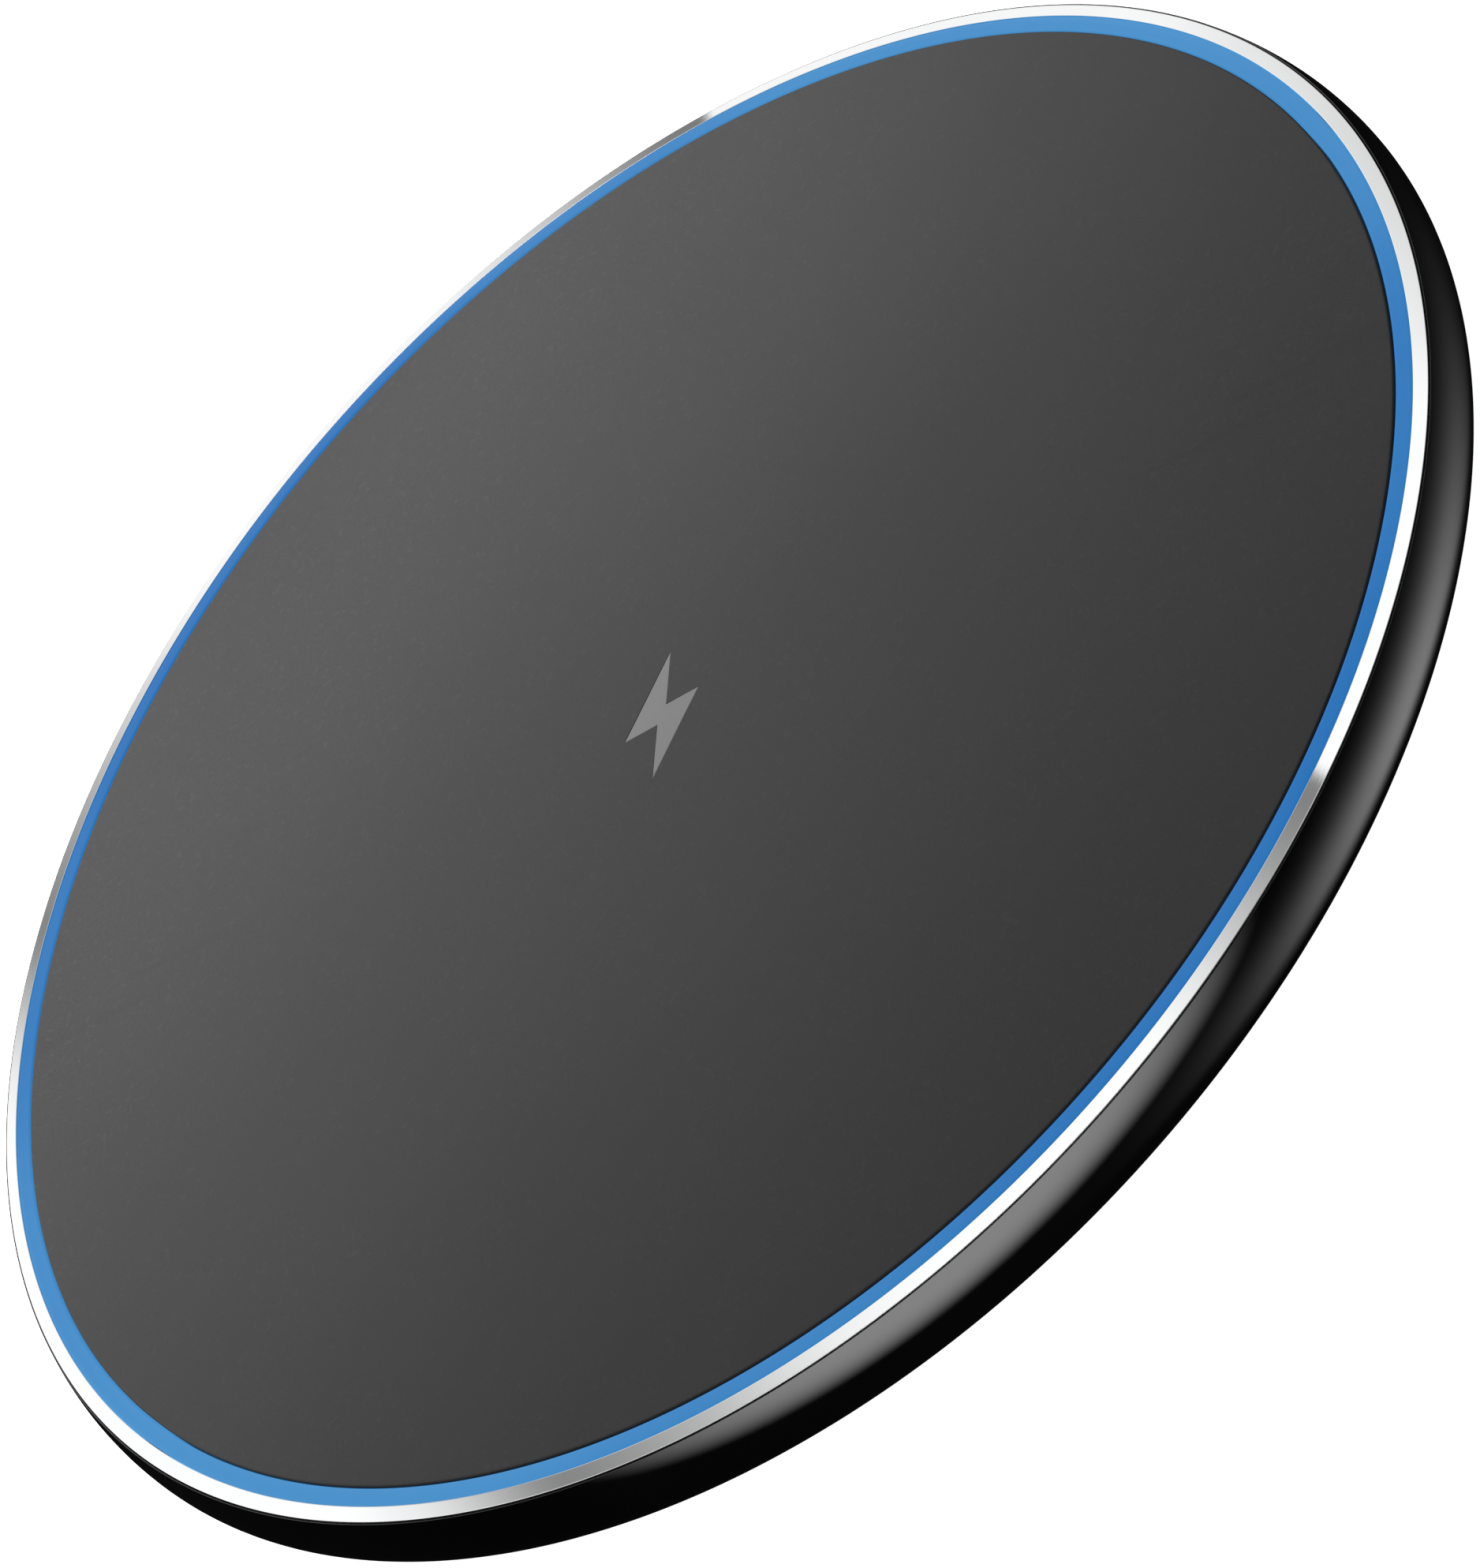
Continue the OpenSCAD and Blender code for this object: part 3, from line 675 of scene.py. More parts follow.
tube_rows = [(-TUBE_BACK_EDGE * left, socket_back + TUBE_BACK_EDGE * grown) for grown, left in QUARTER]
tube_rows += [(-TUBE_LIP * grown, socket_front - TUBE_LIP * left) for grown, left in QUARTER]
tube_rows += [(-TUBE_WALL + TUBE_LIP * left, socket_front - TUBE_LIP * grown) for grown, left in QUARTER]
tube_rows.append((-TUBE_WALL, socket_back + TUBE_WALL))
tube = [at_depth(outline(RAYS, TUBE, grow), y) for grow, y in tube_rows]


def bar(middle, size, y0, y1, edge):
    """Loops of a rounded bar along Y, about (x, z), with its ends rounded."""
    width, height, corner = size
    rows = [(-edge * left, y0 + edge * grown) for grown, left in QUARTER]
    rows += [(-edge * grown, y1 - edge * left) for grown, left in QUARTER]
    loops = [RAYS * reach(RAYS, width / 2 + grow, height / 2 + grow, corner + grow)[:, None] + middle
             for grow, _ in rows]
    return np.stack([at_depth(loop, y) for loop, (_, y) in zip(loops, rows)])


def joined(*parts):
    """Several solids as one mesh."""
    offsets = np.cumsum([0] + [len(points) for points, _ in parts])
    faces = [group + offset for (_, groups), offset in zip(parts, offsets) for group in groups]
    return np.vstack([points for points, _ in parts]), faces


tab_x = socket_high[0] - TAB_OUT / 2
tab_z = socket_low[2] + TAB_T / 2
tab_ys = (socket_back, extent("main_board")[1][1] - TAB_L - TAB_BACK)
tabs = [solid(bar((side * tab_x, tab_z), (TAB_OUT, TAB_T, TAB_CORNER), y, y + TAB_L, TAB_EDGE))
        for side in (-1, 1) for y in tab_ys]
socket = piece("usb_socket_shell", joined(solid(np.stack(tube)), *tabs), "usb_shell")

# %% [markdown]
# The tongue and the block behind it are one black moulding. Both are rounded bars about the tube's
# middle, so the same function gives their loops, and the tongue's loops simply go on from the block's.

# %% The tongue
BLOCK_L = 1.59
BLOCK_EDGE = 0.1
TONGUE_W = 6.69
TONGUE_T = 0.7
TONGUE_CORNER = 0.25
TONGUE_EDGE = 0.22
TONGUE = (TONGUE_W, TONGUE_T, TONGUE_CORNER)
tongue_low, tongue_high = extent("usb_tongue")
BLOCK = (tongue_high[0] * 2, tongue_high[2] - tongue_low[2], (tongue_high[2] - tongue_low[2]) / 2)
block_y = tongue_low[1] + BLOCK_L
about = (0, socket_z)
block = bar(about, BLOCK, tongue_low[1], block_y, BLOCK_EDGE)
blade = bar(about, TONGUE, block_y, tongue_high[1], TONGUE_EDGE)[len(QUARTER) - 1:]
tongue = piece("usb_socket_tongue", solid(np.vstack([block, blade])), "usb_tongue")

# %% [markdown]
# ## The foot ring
# Below, a silicone ring with two shallow grooves keeps the pad from sliding. It is punched or moulded
# soft, so its corners are rounder than the plastic's. It is turned like the other rings, with the
# grooves as four more corners each in its outline.

# %% The foot ring
FOOT_W = 4.0
FOOT_EDGE = 0.15
GROOVE_W = 0.5
GROOVE_T = 0.2
FINE_EDGE = 0.05
foot_top = extent("foot_ring")[1][2]
foot_in = foot_r - FOOT_W
groove_at = [foot_in + FOOT_W * share for share in (1 / 3, 2 / 3)]
grooves = [(at + side * GROOVE_W / 2, z, FINE_EDGE) for at in groove_at
           for side, z in ((-1, 0), (-1, GROOVE_T), (1, GROOVE_T), (1, 0))]
foot_ring = piece("silicone_foot_ring", solid(turned(rounded(
    (foot_in, 0, FOOT_EDGE), *grooves, (foot_r, 0, FOOT_EDGE), (foot_r, foot_top, FINE_EDGE),
    (foot_in, foot_top, FINE_EDGE))), ring=True), "foot_ring")

# %% [markdown]
# ## The screws
# Four small screws in pockets hold the base plate. A screw's head is turned, so it is a dome. Its
# driver recess is a cross, the outline of two crossed slots, which is again one distance for each
# direction. So the screw is one stack of loops, from its tip to the bottom of the recess.

# %% The screws
SCREW_CIRCLE = 33.5
HEAD_R = 1.9
HEAD_T = 0.9
HEAD_EDGE = 0.05
DOME_R = 0.5
SHANK_R = 0.8
TIP_L = 0.3
RECESS_L = 2.2
RECESS_W = 0.5
RECESS_T = 0.5
RECESS_CORNER = 0.01
RECESS_EDGE = 0.06
head_z, tip_z = (corner[2] for corner in extent("base_screws"))
seat = head_z + HEAD_T

slot_across = reach(RAYS, RECESS_L / 2, RECESS_W / 2, RECESS_CORNER)
slot_along = reach(RAYS, RECESS_W / 2, RECESS_L / 2, RECESS_CORNER)
cross = np.maximum(slot_across, slot_along)


def screw_loop(r, z):
    """A loop of the screw at a radius, which may change with the direction."""
    x_y = RAYS * (r * np.ones(len(RAYS)))[:, None]
    return np.column_stack([x_y, np.full(len(RAYS), z)])


shank = [(SHANK_R * 0.6, tip_z), (SHANK_R, tip_z - TIP_L),
         (SHANK_R, seat + HEAD_EDGE), (SHANK_R + HEAD_EDGE, seat)]
head_side = [(HEAD_R - HEAD_EDGE, seat), (HEAD_R, seat - HEAD_EDGE)]
head_dome = [(HEAD_R - DOME_R * grown, head_z + DOME_R * left) for grown, left in QUARTER]
recess = [(cross + RECESS_EDGE, head_z), (cross, head_z + RECESS_EDGE), (cross * 0.9, head_z + RECESS_T)]
screw = np.stack([screw_loop(r, z) for r, z in shank + head_side + head_dome + recess])
screw_places = arc((0, 0), SCREW_CIRCLE, 45, 315, 3)
screws = piece("pan_head_screws", copies(solid(screw), screw_places), "base_screws")

# %% [markdown]
# # Finishes
# A finish is a small graph of nodes. Written by hand, each sum in such a graph is a node to add and
# two links to make, so a small class wraps a socket and lets Python's own signs do that. Every other
# node comes from its one method, which takes the node's kind, its settings and its sockets' values.

# %% A socket that Python's signs work on
class Wire:
    """A shader socket. wire * 2 adds a Math node and gives a wire on its result."""

    def __init__(self, tree, socket=None):
        self.tree = tree
        self.socket = socket

    def node(self, kind, sockets=None, output=0, stops=None, **settings):
        """Adds a node: first its settings and a ramp's stops, then its sockets' values or links."""
        made = self.tree.nodes.new(kind)
        for name, value in settings.items():
            setattr(made, name, value)
        for place, (at, colour) in enumerate(stops or []):
            stop = made.color_ramp.elements[place] if place < 2 else made.color_ramp.elements.new(at)
            stop.position, stop.color = at, colour
        for key, value in (sockets or {}).items():
            if isinstance(value, Wire):
                self.tree.links.new(value.socket, made.inputs[key])
            else:
                made.inputs[key].default_value = value
        return Wire(self.tree, made.outputs[output])

    def maths(self, operation, *others):
        """A Math node whose first value is this wire."""
        return self.node("ShaderNodeMath", dict(enumerate((self, *others))), operation=operation)

    def __add__(self, other):
        return self.maths("ADD", other)

    def __sub__(self, other):
        return self.maths("SUBTRACT", other)

    def __rsub__(self, other):
        return self.maths("MULTIPLY_ADD", -1.0, other)

    def __mul__(self, other):
        return self.maths("MULTIPLY", other)

    def __truediv__(self, other):
        return self.maths("DIVIDE", other)

    __radd__ = __add__
    __rmul__ = __mul__

    def step(self, low, high):
        """A smooth step: 0 below low and 1 above high, or the other way round if high is below low."""
        ends = {"Value": self, "From Min": low, "From Max": high}
        return self.node("ShaderNodeMapRange", ends, interpolation_type="SMOOTHSTEP")

    def blend(self, one, two):
        """A colour that goes from one to two as this wire goes from 0 to 1."""
        return self.node("ShaderNodeMix", {0: self, 6: one, 7: two}, 2, data_type="RGBA")

    def split(self):
        """The x, y and z of this vector."""
        return [self.node("ShaderNodeSeparateXYZ", {0: self}, i) for i in range(3)]

    def noise(self, size, detail=2.0):
        """Cloudy noise whose lumps are about size metres across."""
        return self.node("ShaderNodeTexNoise", {"Vector": self, "Scale": 1 / size, "Detail": detail})

    def bumps(self, height, depth):
        """A normal from a height of 0 to 1 that stands for depth metres."""
        return self.node("ShaderNodeBump", {"Height": height, "Distance": depth, "Strength": 1.0})


def rgb(red, green, blue):
    """A colour that a shader's socket takes, with full cover."""
    return (red, green, blue, 1.0)


finishes = {}


def finish(name, constants, varied):
    """A material, kept under its name. Constants go to the shader's own sockets; varied(point) gives the
    sockets that change over the surface, from the point's place on the pad in metres."""
    made = bpy.data.materials.new(name)
    made.use_nodes = True
    tree = made.node_tree
    shader = tree.nodes["Principled BSDF"]
    for key, value in constants.items():
        shader.inputs[key].default_value = value
    point = Wire(tree).node("ShaderNodeTexCoord", output="Object")
    for key, value in varied(point).items():
        tree.links.new(value.socket, shader.inputs[key])
    finishes[name] = made
    print(name, "is a graph of", len(tree.nodes), "nodes")
    return made

# %% [markdown]
# ## Glossy black
# The shell is polished, so it is nearly a black mirror. Three faint things keep it from looking drawn:
# the polish is a little uneven, the skin has the slight waviness of moulded plastic, and fine dust of
# handling raises the roughness in soft patches.

# %% The shell's black
def polished_black(point):
    """Base, roughness and a very shallow waviness from noise at three sizes."""
    patches = point.noise(0.02, 3.0).step(0.4, 0.75)
    wear = point.noise(0.0006, 2.0).step(0.55, 0.8) * patches
    return {"Base Color": patches.blend(rgb(0.0008, 0.0008, 0.001), rgb(0.002, 0.002, 0.0022)),
            "Roughness": 0.045 + 0.035 * patches + 0.05 * wear,
            "Normal": point.bumps(point.noise(0.004, 1.0), 0.000002)}


finish("shell_black", {"Specular IOR Level": 1.0}, polished_black)

# %% [markdown]
# ## The panel's satin grey
# The panel has a satin, soft-touch coat. Under a lens it is a very fine even grain, about a tenth of a
# millimetre across, with tiny lighter specks of the matting agent. It has next to no shine, so a near
# lamp lies on it as a broad soft gradient.

# %% The panel's grey
def satin_grey(point):
    """A fine grain in colour, roughness and height, and a broad faint cloudiness."""
    grain = point.noise(0.00012, 3.0)
    specks = point.noise(0.00035, 0.0).step(0.68, 0.78)
    clouds = point.noise(0.03, 2.0)
    tone = (grain * 0.5 + clouds * 0.3 + specks * 0.15).step(0.0, 0.9)
    return {"Base Color": tone.blend(rgb(0.0135, 0.0135, 0.0138), rgb(0.021, 0.021, 0.0216)),
            "Roughness": 0.42 + 0.08 * grain + 0.04 * clouds,
            "Normal": point.bumps(grain, 0.000004)}


finish("panel_grey", {"Specular IOR Level": 0.05}, satin_grey)


def printed_grey(point):
    """Screen-printed ink: flat, a little lighter where the mesh left it thick."""
    weave = point.noise(0.0001, 2.0)
    return {"Base Color": weave.blend(rgb(0.053, 0.053, 0.0538), rgb(0.066, 0.066, 0.067)),
            "Roughness": 0.45 + 0.1 * weave,
            "Normal": point.bumps(weave, 0.000003)}


finish("mark_grey", {"Specular IOR Level": 0.1}, printed_grey)

# %% [markdown]
# ## The polished metal
# A diamond tool leaves rings a few hundredths of a millimetre wide, all about the pad's axis. The
# distance from the axis is the root of x squared plus y squared, and noise of that distance alone
# gives rings. They show only as a slight softening of the mirror.

# %% The trim ring's metal
RINGS_A_METRE = 40000.0


def turned_metal(point):
    """Fine rings about the Z axis, in roughness and height, with soft patches of handling."""
    x, y = point.split()[:2]
    radius_here = (x * x + y * y).maths("SQRT")
    values = {"W": radius_here, "Scale": RINGS_A_METRE, "Detail": 1.0}
    rings = radius_here.node("ShaderNodeTexNoise", values, noise_dimensions="1D")
    patches = point.noise(0.008, 2.0).step(0.45, 0.8)
    return {"Base Color": patches.blend(rgb(0.93, 0.935, 0.94), rgb(0.89, 0.895, 0.905)),
            "Roughness": 0.015 + 0.03 * rings + 0.02 * patches,
            "Normal": point.bumps(rings, 0.0000001)}


finish("bright_trim", {"Metallic": 1.0}, turned_metal)

# %% [markdown]
# ## The light ring's blue
# Twelve small lights shine up through the ring, so it is a little brighter over each of them. The
# flange spreads their light well, and the difference is slight. Two opposite stretches are brighter
# than the rest. The glow is emission, and the clear blue skin over it keeps its gloss.

# %% The light ring's glow
LIGHTS = 12
BRIGHT_AT = 53.0


def glowing_blue(point):
    """Glow = a cosine of twice the angle, for the two bright stretches, and of twelve times it."""
    x, y = point.split()[:2]
    angle = y.maths("ARCTAN2", x)
    halves = (2 * (angle - np.radians(BRIGHT_AT))).maths("COSINE")
    spots = (LIGHTS * angle + np.pi).maths("COSINE")
    haze = point.noise(0.0015, 2.0)
    glow = (0.5 + 0.42 * halves + 0.06 * spots + 0.06 * haze).step(0.0, 1.0)
    return {"Emission Color": glow.blend(rgb(0.012, 0.155, 0.46), rgb(0.056, 0.268, 0.575)),
            "Base Color": haze.blend(rgb(0.0002, 0.0006, 0.002), rgb(0.0004, 0.001, 0.004)),
            "Roughness": 0.22 + 0.08 * haze,
            "Normal": point.bumps(haze, 0.000002)}


light_constants = {"Emission Strength": 1.0, "Specular IOR Level": 0.15}
finish("light_blue", light_constants, glowing_blue)

# %% [markdown]
# ## Plain mouldings and minerals
# The rest of the plastics, the silicone, the ferrite and the ceramics differ in colour, in how rough
# they are and in the size of their grain. One function makes them all: grain moves the colour between
# two tones, changes the roughness and stands up by its own depth.

# %% Grained finishes
def grained(name, dark, light, rough, grain_size, grain_depth, **constants):
    """A finish whose grain, grain_size millimetres across and grain_depth millimetres high, mixes two
    tones; rough is the roughness in the hollows and on the tops."""
    def varied(point):
        grain = point.noise(grain_size * MM, 3.0)
        broad = point.noise(grain_size * 30 * MM, 2.0)
        tone = (0.7 * grain + 0.3 * broad).step(0.3, 0.7)
        return {"Base Color": tone.blend(rgb(*dark), rgb(*light)),
                "Roughness": rough[0] + (rough[1] - rough[0]) * tone,
                "Normal": point.bumps(grain, grain_depth * MM)}
    finish(name, constants, varied)


grained("base_black", (0.008, 0.008, 0.0085), (0.02, 0.02, 0.021), (0.42, 0.6), 0.25, 0.02)
grained("silicone_black", (0.018, 0.018, 0.019), (0.03, 0.03, 0.032), (0.6, 0.75), 0.12, 0.006)
grained("tape_black", (0.012, 0.012, 0.012), (0.025, 0.025, 0.025), (0.75, 0.9), 0.08, 0.006)
grained("carrier_white", (0.66, 0.66, 0.63), (0.76, 0.76, 0.73), (0.38, 0.5), 0.4, 0.006)
grained("reflector_white", (0.82, 0.82, 0.82), (0.9, 0.9, 0.9), (0.25, 0.35), 0.3, 0.003)
grained("ferrite_grey", (0.022, 0.022, 0.024), (0.06, 0.06, 0.065), (0.35, 0.6), 0.15, 0.01)
grained("inductor_grey", (0.05, 0.05, 0.052), (0.12, 0.12, 0.125), (0.5, 0.75), 0.06, 0.008)
grained("chip_black", (0.01, 0.01, 0.011), (0.028, 0.028, 0.03), (0.45, 0.6), 0.05, 0.004)
grained("socket_black", (0.008, 0.008, 0.008), (0.018, 0.018, 0.018), (0.4, 0.55), 0.08, 0.004)
grained("ceramic_tan", (0.3, 0.19, 0.1), (0.42, 0.29, 0.17), (0.35, 0.5), 0.05, 0.003)
grained("bead_black", (0.006, 0.006, 0.006), (0.015, 0.015, 0.015), (0.08, 0.16), 0.1, 0.002)
grained("sleeve_red", (0.32, 0.02, 0.012), (0.5, 0.045, 0.03), (0.4, 0.55), 0.1, 0.004)
grained("tape_amber", (0.5, 0.33, 0.06), (0.66, 0.47, 0.14), (0.18, 0.3), 0.6, 0.004)
grained("led_clear", (0.55, 0.6, 0.4), (0.8, 0.82, 0.75), (0.12, 0.2), 0.3, 0.002)
grained("solder", (0.5, 0.5, 0.52), (0.66, 0.66, 0.68), (0.18, 0.34), 0.1, 0.006, Metallic=1.0)
print("there are", len(finishes), "finishes so far")

# %% [markdown]
# ## Worked metals
# Drawn steel and plated contacts have fine lines along the way they were drawn. Noise that is squeezed
# across one direction and stretched along the other gives such lines. Stretch is how often the noise
# repeats along x, y and z, beside its own size.

# %% Drawn metals
def drawn(name, dark, light, rough, stretch, depth):
    """A metal with fine lines: the point is scaled by stretch before the noise is read."""
    def varied(point):
        squeezed = point.node("ShaderNodeMapping", {"Vector": point, "Scale": stretch})
        lines = squeezed.noise(0.0002, 2.0)
        stains = point.noise(0.0015, 3.0)
        tone = (0.6 * lines + 0.4 * stains).step(0.3, 0.7)
        return {"Base Color": tone.blend(rgb(*dark), rgb(*light)),
                "Roughness": rough[0] + (rough[1] - rough[0]) * tone,
                "Normal": point.bumps(lines, depth * MM)}
    finish(name, {"Metallic": 1.0}, varied)


drawn("socket_steel", (0.5, 0.5, 0.51), (0.66, 0.66, 0.67), (0.18, 0.34), (1.0, 0.06, 1.0), 0.0015)
drawn("screw_steel", (0.42, 0.42, 0.43), (0.6, 0.6, 0.61), (0.22, 0.4), (1.0, 1.0, 0.2), 0.0015)
drawn("contact_gold", (0.7, 0.45, 0.12), (0.9, 0.64, 0.24), (0.14, 0.28), (1.0, 0.06, 1.0), 0.001)

# %% [markdown]
# ## The coil's wire
# Litz wire is a bundle of thin enamelled strands, twisted together. Seen on a turn of the coil, the
# strands run slantwise. The angle about the pad's axis runs along the wire and the distance from the
# axis runs across it, so stripes of many times the angle plus the distance lie slantwise on each turn.

# %% The litz copper
STRANDS_ROUND = 240
STRAND_SLANT = 9000.0
STRAND_RISE = 6000.0


def litz(point):
    """Stripes = a sine of the angle times STRANDS_ROUND, plus the distance from the axis times
    STRAND_SLANT, plus the height times STRAND_RISE."""
    x, y, z = point.split()
    distance = (x * x + y * y).maths("SQRT")
    turns = STRANDS_ROUND * y.maths("ARCTAN2", x) + STRAND_SLANT * distance + STRAND_RISE * z
    strands = 0.5 + 0.5 * turns.maths("SINE")
    tint = point.noise(0.002, 2.0)
    tone = (0.75 * strands + 0.35 * tint).step(0.1, 1.0)
    return {"Base Color": tone.blend(rgb(0.28, 0.08, 0.03), rgb(0.75, 0.33, 0.15)),
            "Roughness": 0.26 + 0.2 * (1 - strands),
            "Normal": point.bumps(strands, 0.00003)}


finish("litz_copper", {"Metallic": 1.0}, litz)

# %% [markdown]
# ## The circuit board
# Solder mask is a clear green lacquer over copper tracks, and it is lighter and a little higher where
# a track lies under it. Real tracks run in even lanes that bend and stop. Lanes about the axis, broken
# up by coarse cells, look like that without any drawing.

# %% The board's green
LANE = 0.0007
CELLS_A_METRE = 180.0


def solder_mask(point):
    """Lanes = the distance from the axis in whole lanes; a cell pattern turns each on or off."""
    x, y = point.split()[:2]
    lanes = (x * x + y * y).maths("SQRT") / LANE
    across = lanes.maths("FRACT")
    flat = point.node("ShaderNodeCombineXYZ", {0: x, 1: y})
    cells = flat.node("ShaderNodeTexVoronoi", {"Vector": flat, "Scale": CELLS_A_METRE}, "Color")
    chosen = cells.node("ShaderNodeSeparateColor", {0: cells}).step(0.45, 0.5)
    track = across.step(0.2, 0.3) * across.step(0.75, 0.65) * chosen
    grain = point.noise(0.0004, 2.0)
    return {"Base Color": track.blend(rgb(0.008, 0.07, 0.03), rgb(0.03, 0.17, 0.07)),
            "Roughness": 0.22 + 0.1 * grain,
            "Normal": point.bumps(0.8 * track + 0.2 * grain, 0.00003)}


finish("board_green", {"IOR": 1.5}, solder_mask)

# %% [markdown]
# ## Where each finish goes
# The design's record names a material slot for each piece, and the finishes above bear those names. The
# new pieces get theirs by their own slot. Every other node of the frame stays as it is, a plain mesh,
# and only changes its material.

# %% Put the finishes on
new_pieces = [trim_ring, light_ring, panel, mark, shell, socket, tongue, foot_ring, screws]
for made in new_pieces:
    made.data.materials.append(finishes[made["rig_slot"]])
stood_for = {node for made in new_pieces for node in made["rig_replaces"]}
for name, node in frame["nodes"].items():
    if name not in stood_for:
        node.data.materials.clear()
        node.data.materials.append(finishes[slot_of[name]])
print(len(finishes), "finishes are on", len(frame["nodes"]), "nodes")

# %% [markdown]
# # The studio
# A polished ring and a glossy shell show the room more than themselves, so the room is the last thing
# to build. It is painted by direction, as a sky: a bright wall beyond the pad, dimmer at its right end
# and with two darker bands, a broad dim band of light on the near side, and two soft spots there, one
# near the horizon and one below it, where a lit table would throw light up onto the shell.
# Everything is in degrees. A frame has a half width, a lowest and a highest edge, and the softness of
# its sides and of its ends. A spot has an azimuth, an elevation, a half width and a half height.

# %% The studio's light by direction
WALL_FRAME, WALL_LIGHT = (75, 9, 80, 12, 5), 1.07
NEAR_FRAME, NEAR_LIGHT = (105, 16, 52, 10, 8), 0.5
LEFT_SPOT, LEFT_LIGHT = (24, 8, 33, 24), 2.75
RIGHT_SPOT, RIGHT_LIGHT = (-62, -38, 26, 16), 1.75
DARKEST = 0.005


def studio(point):
    """Brightness for each direction. Azimuth is 0 beyond the pad as the camera sees it, growing to the
    right; behind is 0 on the camera's own side, growing to the left; elevation is above the table."""
    x, y, z = point.split()
    cosine, sine = np.cos(np.radians(CAMERA_AZIMUTH)), np.sin(np.radians(CAMERA_AZIMUTH))
    right, ahead = x * cosine + y * sine, y * cosine - x * sine
    degrees = 180 / np.pi
    azimuth = right.maths("ARCTAN2", ahead) * degrees
    behind = (right * -1).maths("ARCTAN2", ahead * -1) * degrees
    elevation = z.maths("ARCSINE") * degrees

    def patch(across, half_width, low, high, soft_across, soft_up):
        """1 inside a frame of angles and 0 outside it, with soft edges."""
        sides = across.maths("ABSOLUTE").step(half_width + soft_across, half_width - soft_across)
        ends = elevation.step(low - soft_up, low + soft_up) * elevation.step(high + soft_up, high - soft_up)
        return sides * ends

    def apart(middle, height, half_width, half_height):
        """The squared distance from a spot's middle, in units of its half width and half height."""
        across, up = (behind - middle) / half_width, (elevation - height) / half_height
        return across * across + up * up

    # Each band has one hard edge. Its azimuth drifts with the height, and so does the band's width.
    widen = 1 + 0.02 * (elevation - 19)
    from_edge = (azimuth - 9.2 - 0.12 * (elevation - 18.6)) / widen
    band_right = from_edge.step(-7.0, 0.0) * from_edge.step(0.06, -0.06)
    from_middle = (azimuth + 11.1 + 0.309 * (elevation - 19.6)) / widen
    band_left = from_middle.step(-3.0, 0.2) * from_middle.step(7.8, -0.5)
    right_end = (azimuth - 0.16 * (elevation - 35)).step(19.0, 23.5)
    low_right = elevation.step(36, 24) * azimuth.step(-12, 2)
    wall = patch(azimuth, *WALL_FRAME) * (1 - 0.8 * band_right) * (1 - 0.78 * band_left)
    wall = wall * (1 - 0.45 * right_end) * (1 - 0.08 * low_right)
    near = patch(behind, *NEAR_FRAME)
    left = apart(*LEFT_SPOT).step(2.5, 0.1)
    right_low = (apart(*RIGHT_SPOT) * -0.7).maths("EXPONENT")
    return WALL_LIGHT * wall + NEAR_LIGHT * near + LEFT_LIGHT * left + RIGHT_LIGHT * right_low + DARKEST


world = bpy.data.worlds.new("studio")
world.use_nodes = True
sky = world.node_tree
direction = Wire(sky).node("ShaderNodeTexCoord", output="Generated")
sky.links.new(studio(direction).socket, sky.nodes["Background"].inputs["Strength"])
sky.nodes["Background"].inputs["Color"].default_value = rgb(1, 1, 1)
scene.world = world
print("the studio is a graph of", len(sky.nodes), "nodes")

# %% [markdown]
# One real lamp, long and low, hangs close over the panel's far edge. It is near, so its light falls off
# quickly and gives the panel a gradient. Only rough surfaces take it, because in the mirror of the
# trim ring a lamp would be a hard white spot.

# %% The lamp for the panel's gradient
LAMP_AZIMUTH = -15.0
LAMP_AWAY = 60.0
LAMP_HEIGHT = 62.0
LAMP_SIZE = (240.0, 40.0)
LAMP_WATTS = 0.6

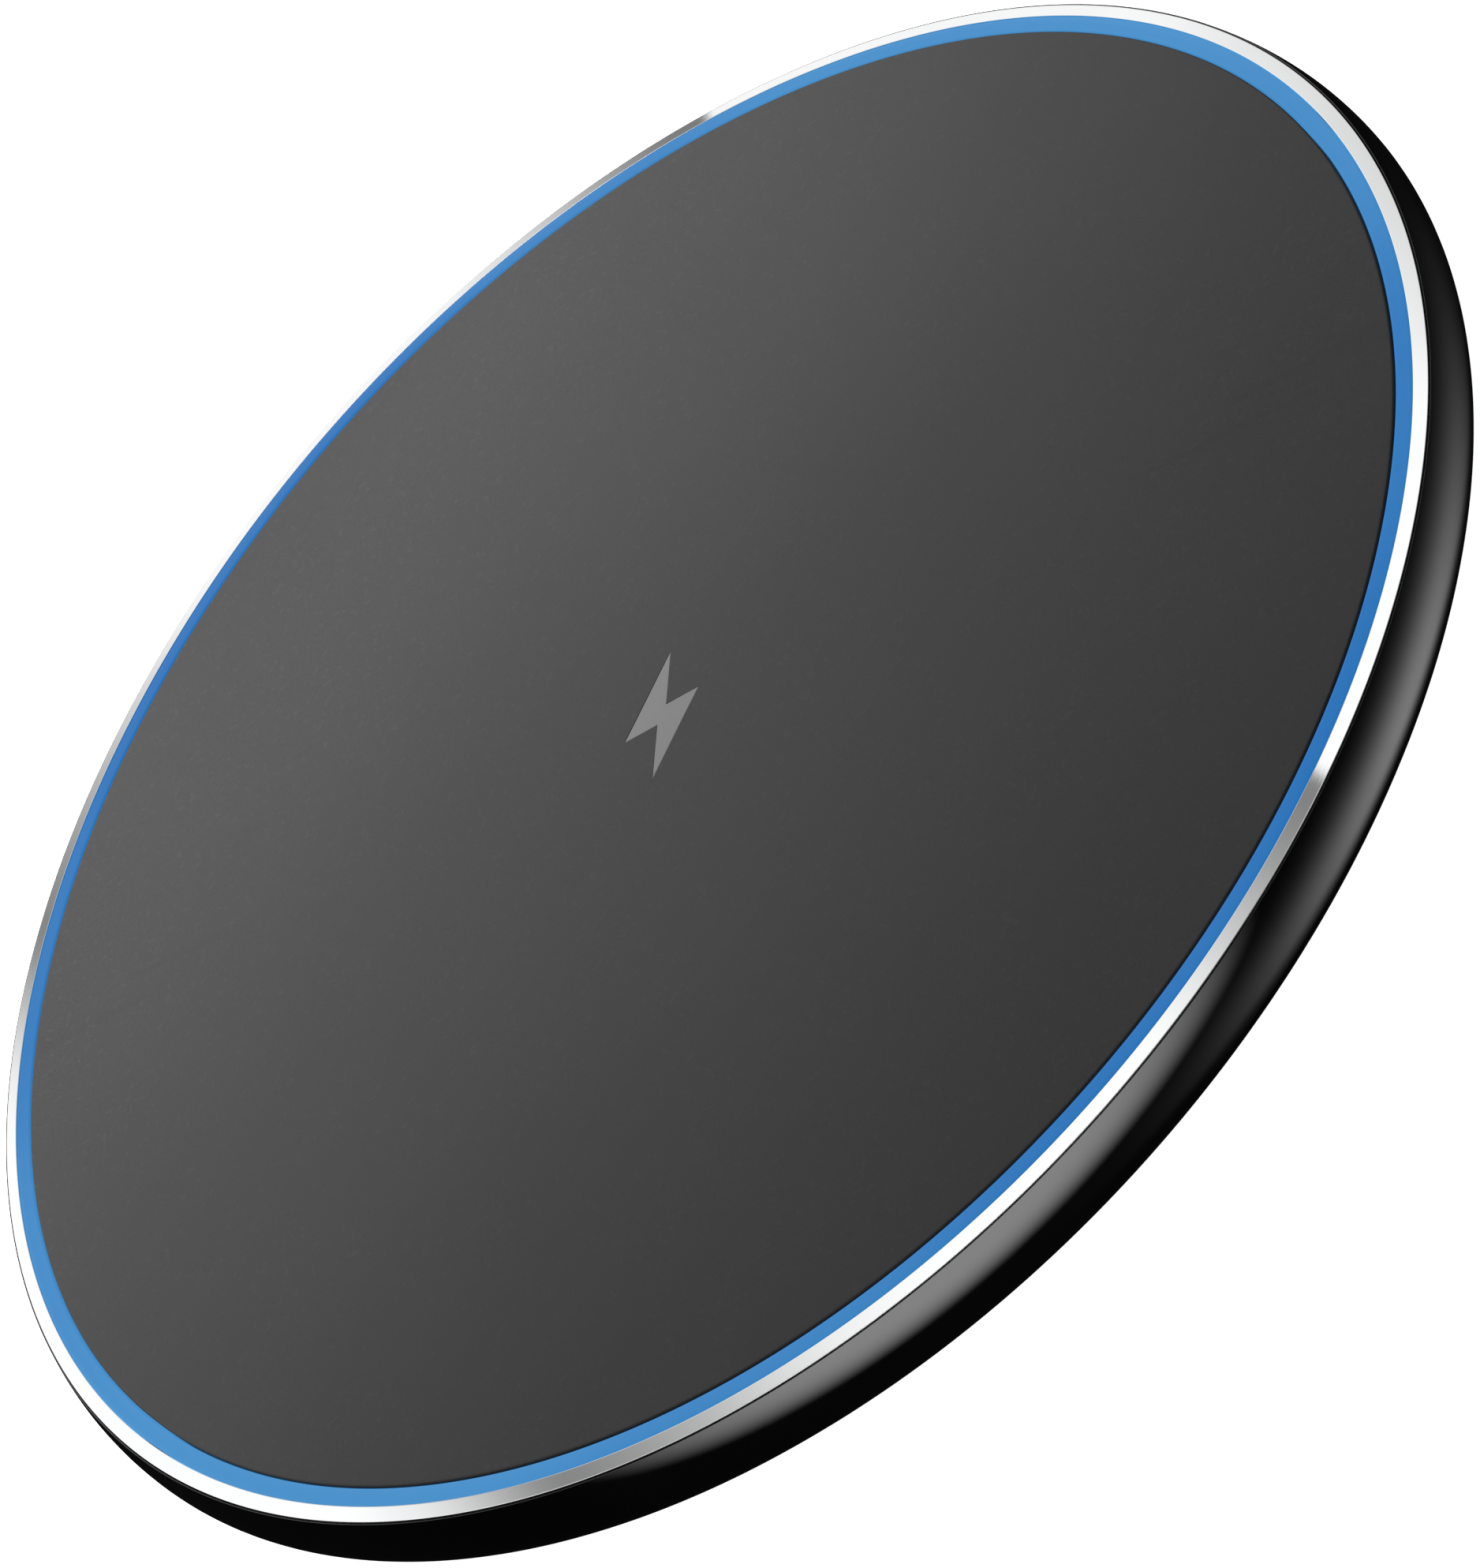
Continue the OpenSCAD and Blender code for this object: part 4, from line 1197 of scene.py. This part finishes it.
lamp_turn = np.radians(CAMERA_AZIMUTH - LAMP_AZIMUTH)
lamp_place = Vector((-np.sin(lamp_turn) * LAMP_AWAY, np.cos(lamp_turn) * LAMP_AWAY, LAMP_HEIGHT)) * MM
lamp_data = bpy.data.lights.new("low_lamp", "AREA")
lamp_data.shape = "RECTANGLE"
lamp_data.size, lamp_data.size_y = LAMP_SIZE[0] * MM, LAMP_SIZE[1] * MM
lamp_data.energy = LAMP_WATTS
lamp = into_scene("low_lamp", lamp_data)
lamp.location = lamp_place
lamp.rotation_euler = lamp_place.to_track_quat("Z", "Y").to_euler()
lamp.visible_camera = False
lamp.visible_glossy = False
print("the lamp stands", round(lamp_place.length, 3), "m from the pad")

# %% [markdown]
# The pad stands on plain white, with next to no shadow. The floor is nearly white by itself and
# takes a faint contact shadow, and a white dome closes the room behind. Only the camera sees these
# two, so that the gloss shows the painted studio instead.

# %% The floor and the backdrop
def painted_white(point):
    """A light grey with next to no cloudiness."""
    return {"Base Color": point.noise(0.5, 1.0).blend(rgb(0.3, 0.3, 0.3), rgb(0.31, 0.31, 0.31))}


def stage_piece(name, shape, glow):
    """A turned white surface that mostly shines by itself; the studio adds the rest. It is kept out of
    reflections, bounced light and shadows."""
    made = into_scene(name, smooth_mesh(name, solid(turned(shape))))
    constants = {"Roughness": 0.9, "Specular IOR Level": 0.0,
                 "Emission Color": rgb(1, 1, 1), "Emission Strength": glow}
    made.data.materials.append(finish(name + "_white", constants, painted_white))
    for ray in ("diffuse", "glossy", "transmission", "volume_scatter", "shadow"):
        setattr(made, "visible_" + ray, False)


FLOOR_R = 6000.0
FLOOR_MIDDLE_R = 200.0
FLOOR_Z = -0.02
FLOOR_UNDER_Z = -1.0
BACKDROP_R = 5900.0
BACKDROP_STEPS = 48

floor_shape = np.array([[FLOOR_MIDDLE_R, FLOOR_Z], [FLOOR_R, FLOOR_Z], [FLOOR_R, FLOOR_UNDER_Z]])
stage_piece("floor", floor_shape, 0.95)
stage_piece("backdrop", arc((0, 0), BACKDROP_R, -89.9, 89.9, BACKDROP_STEPS), 1.0)
scene.view_settings.view_transform = "Standard"
print("the stage is set")
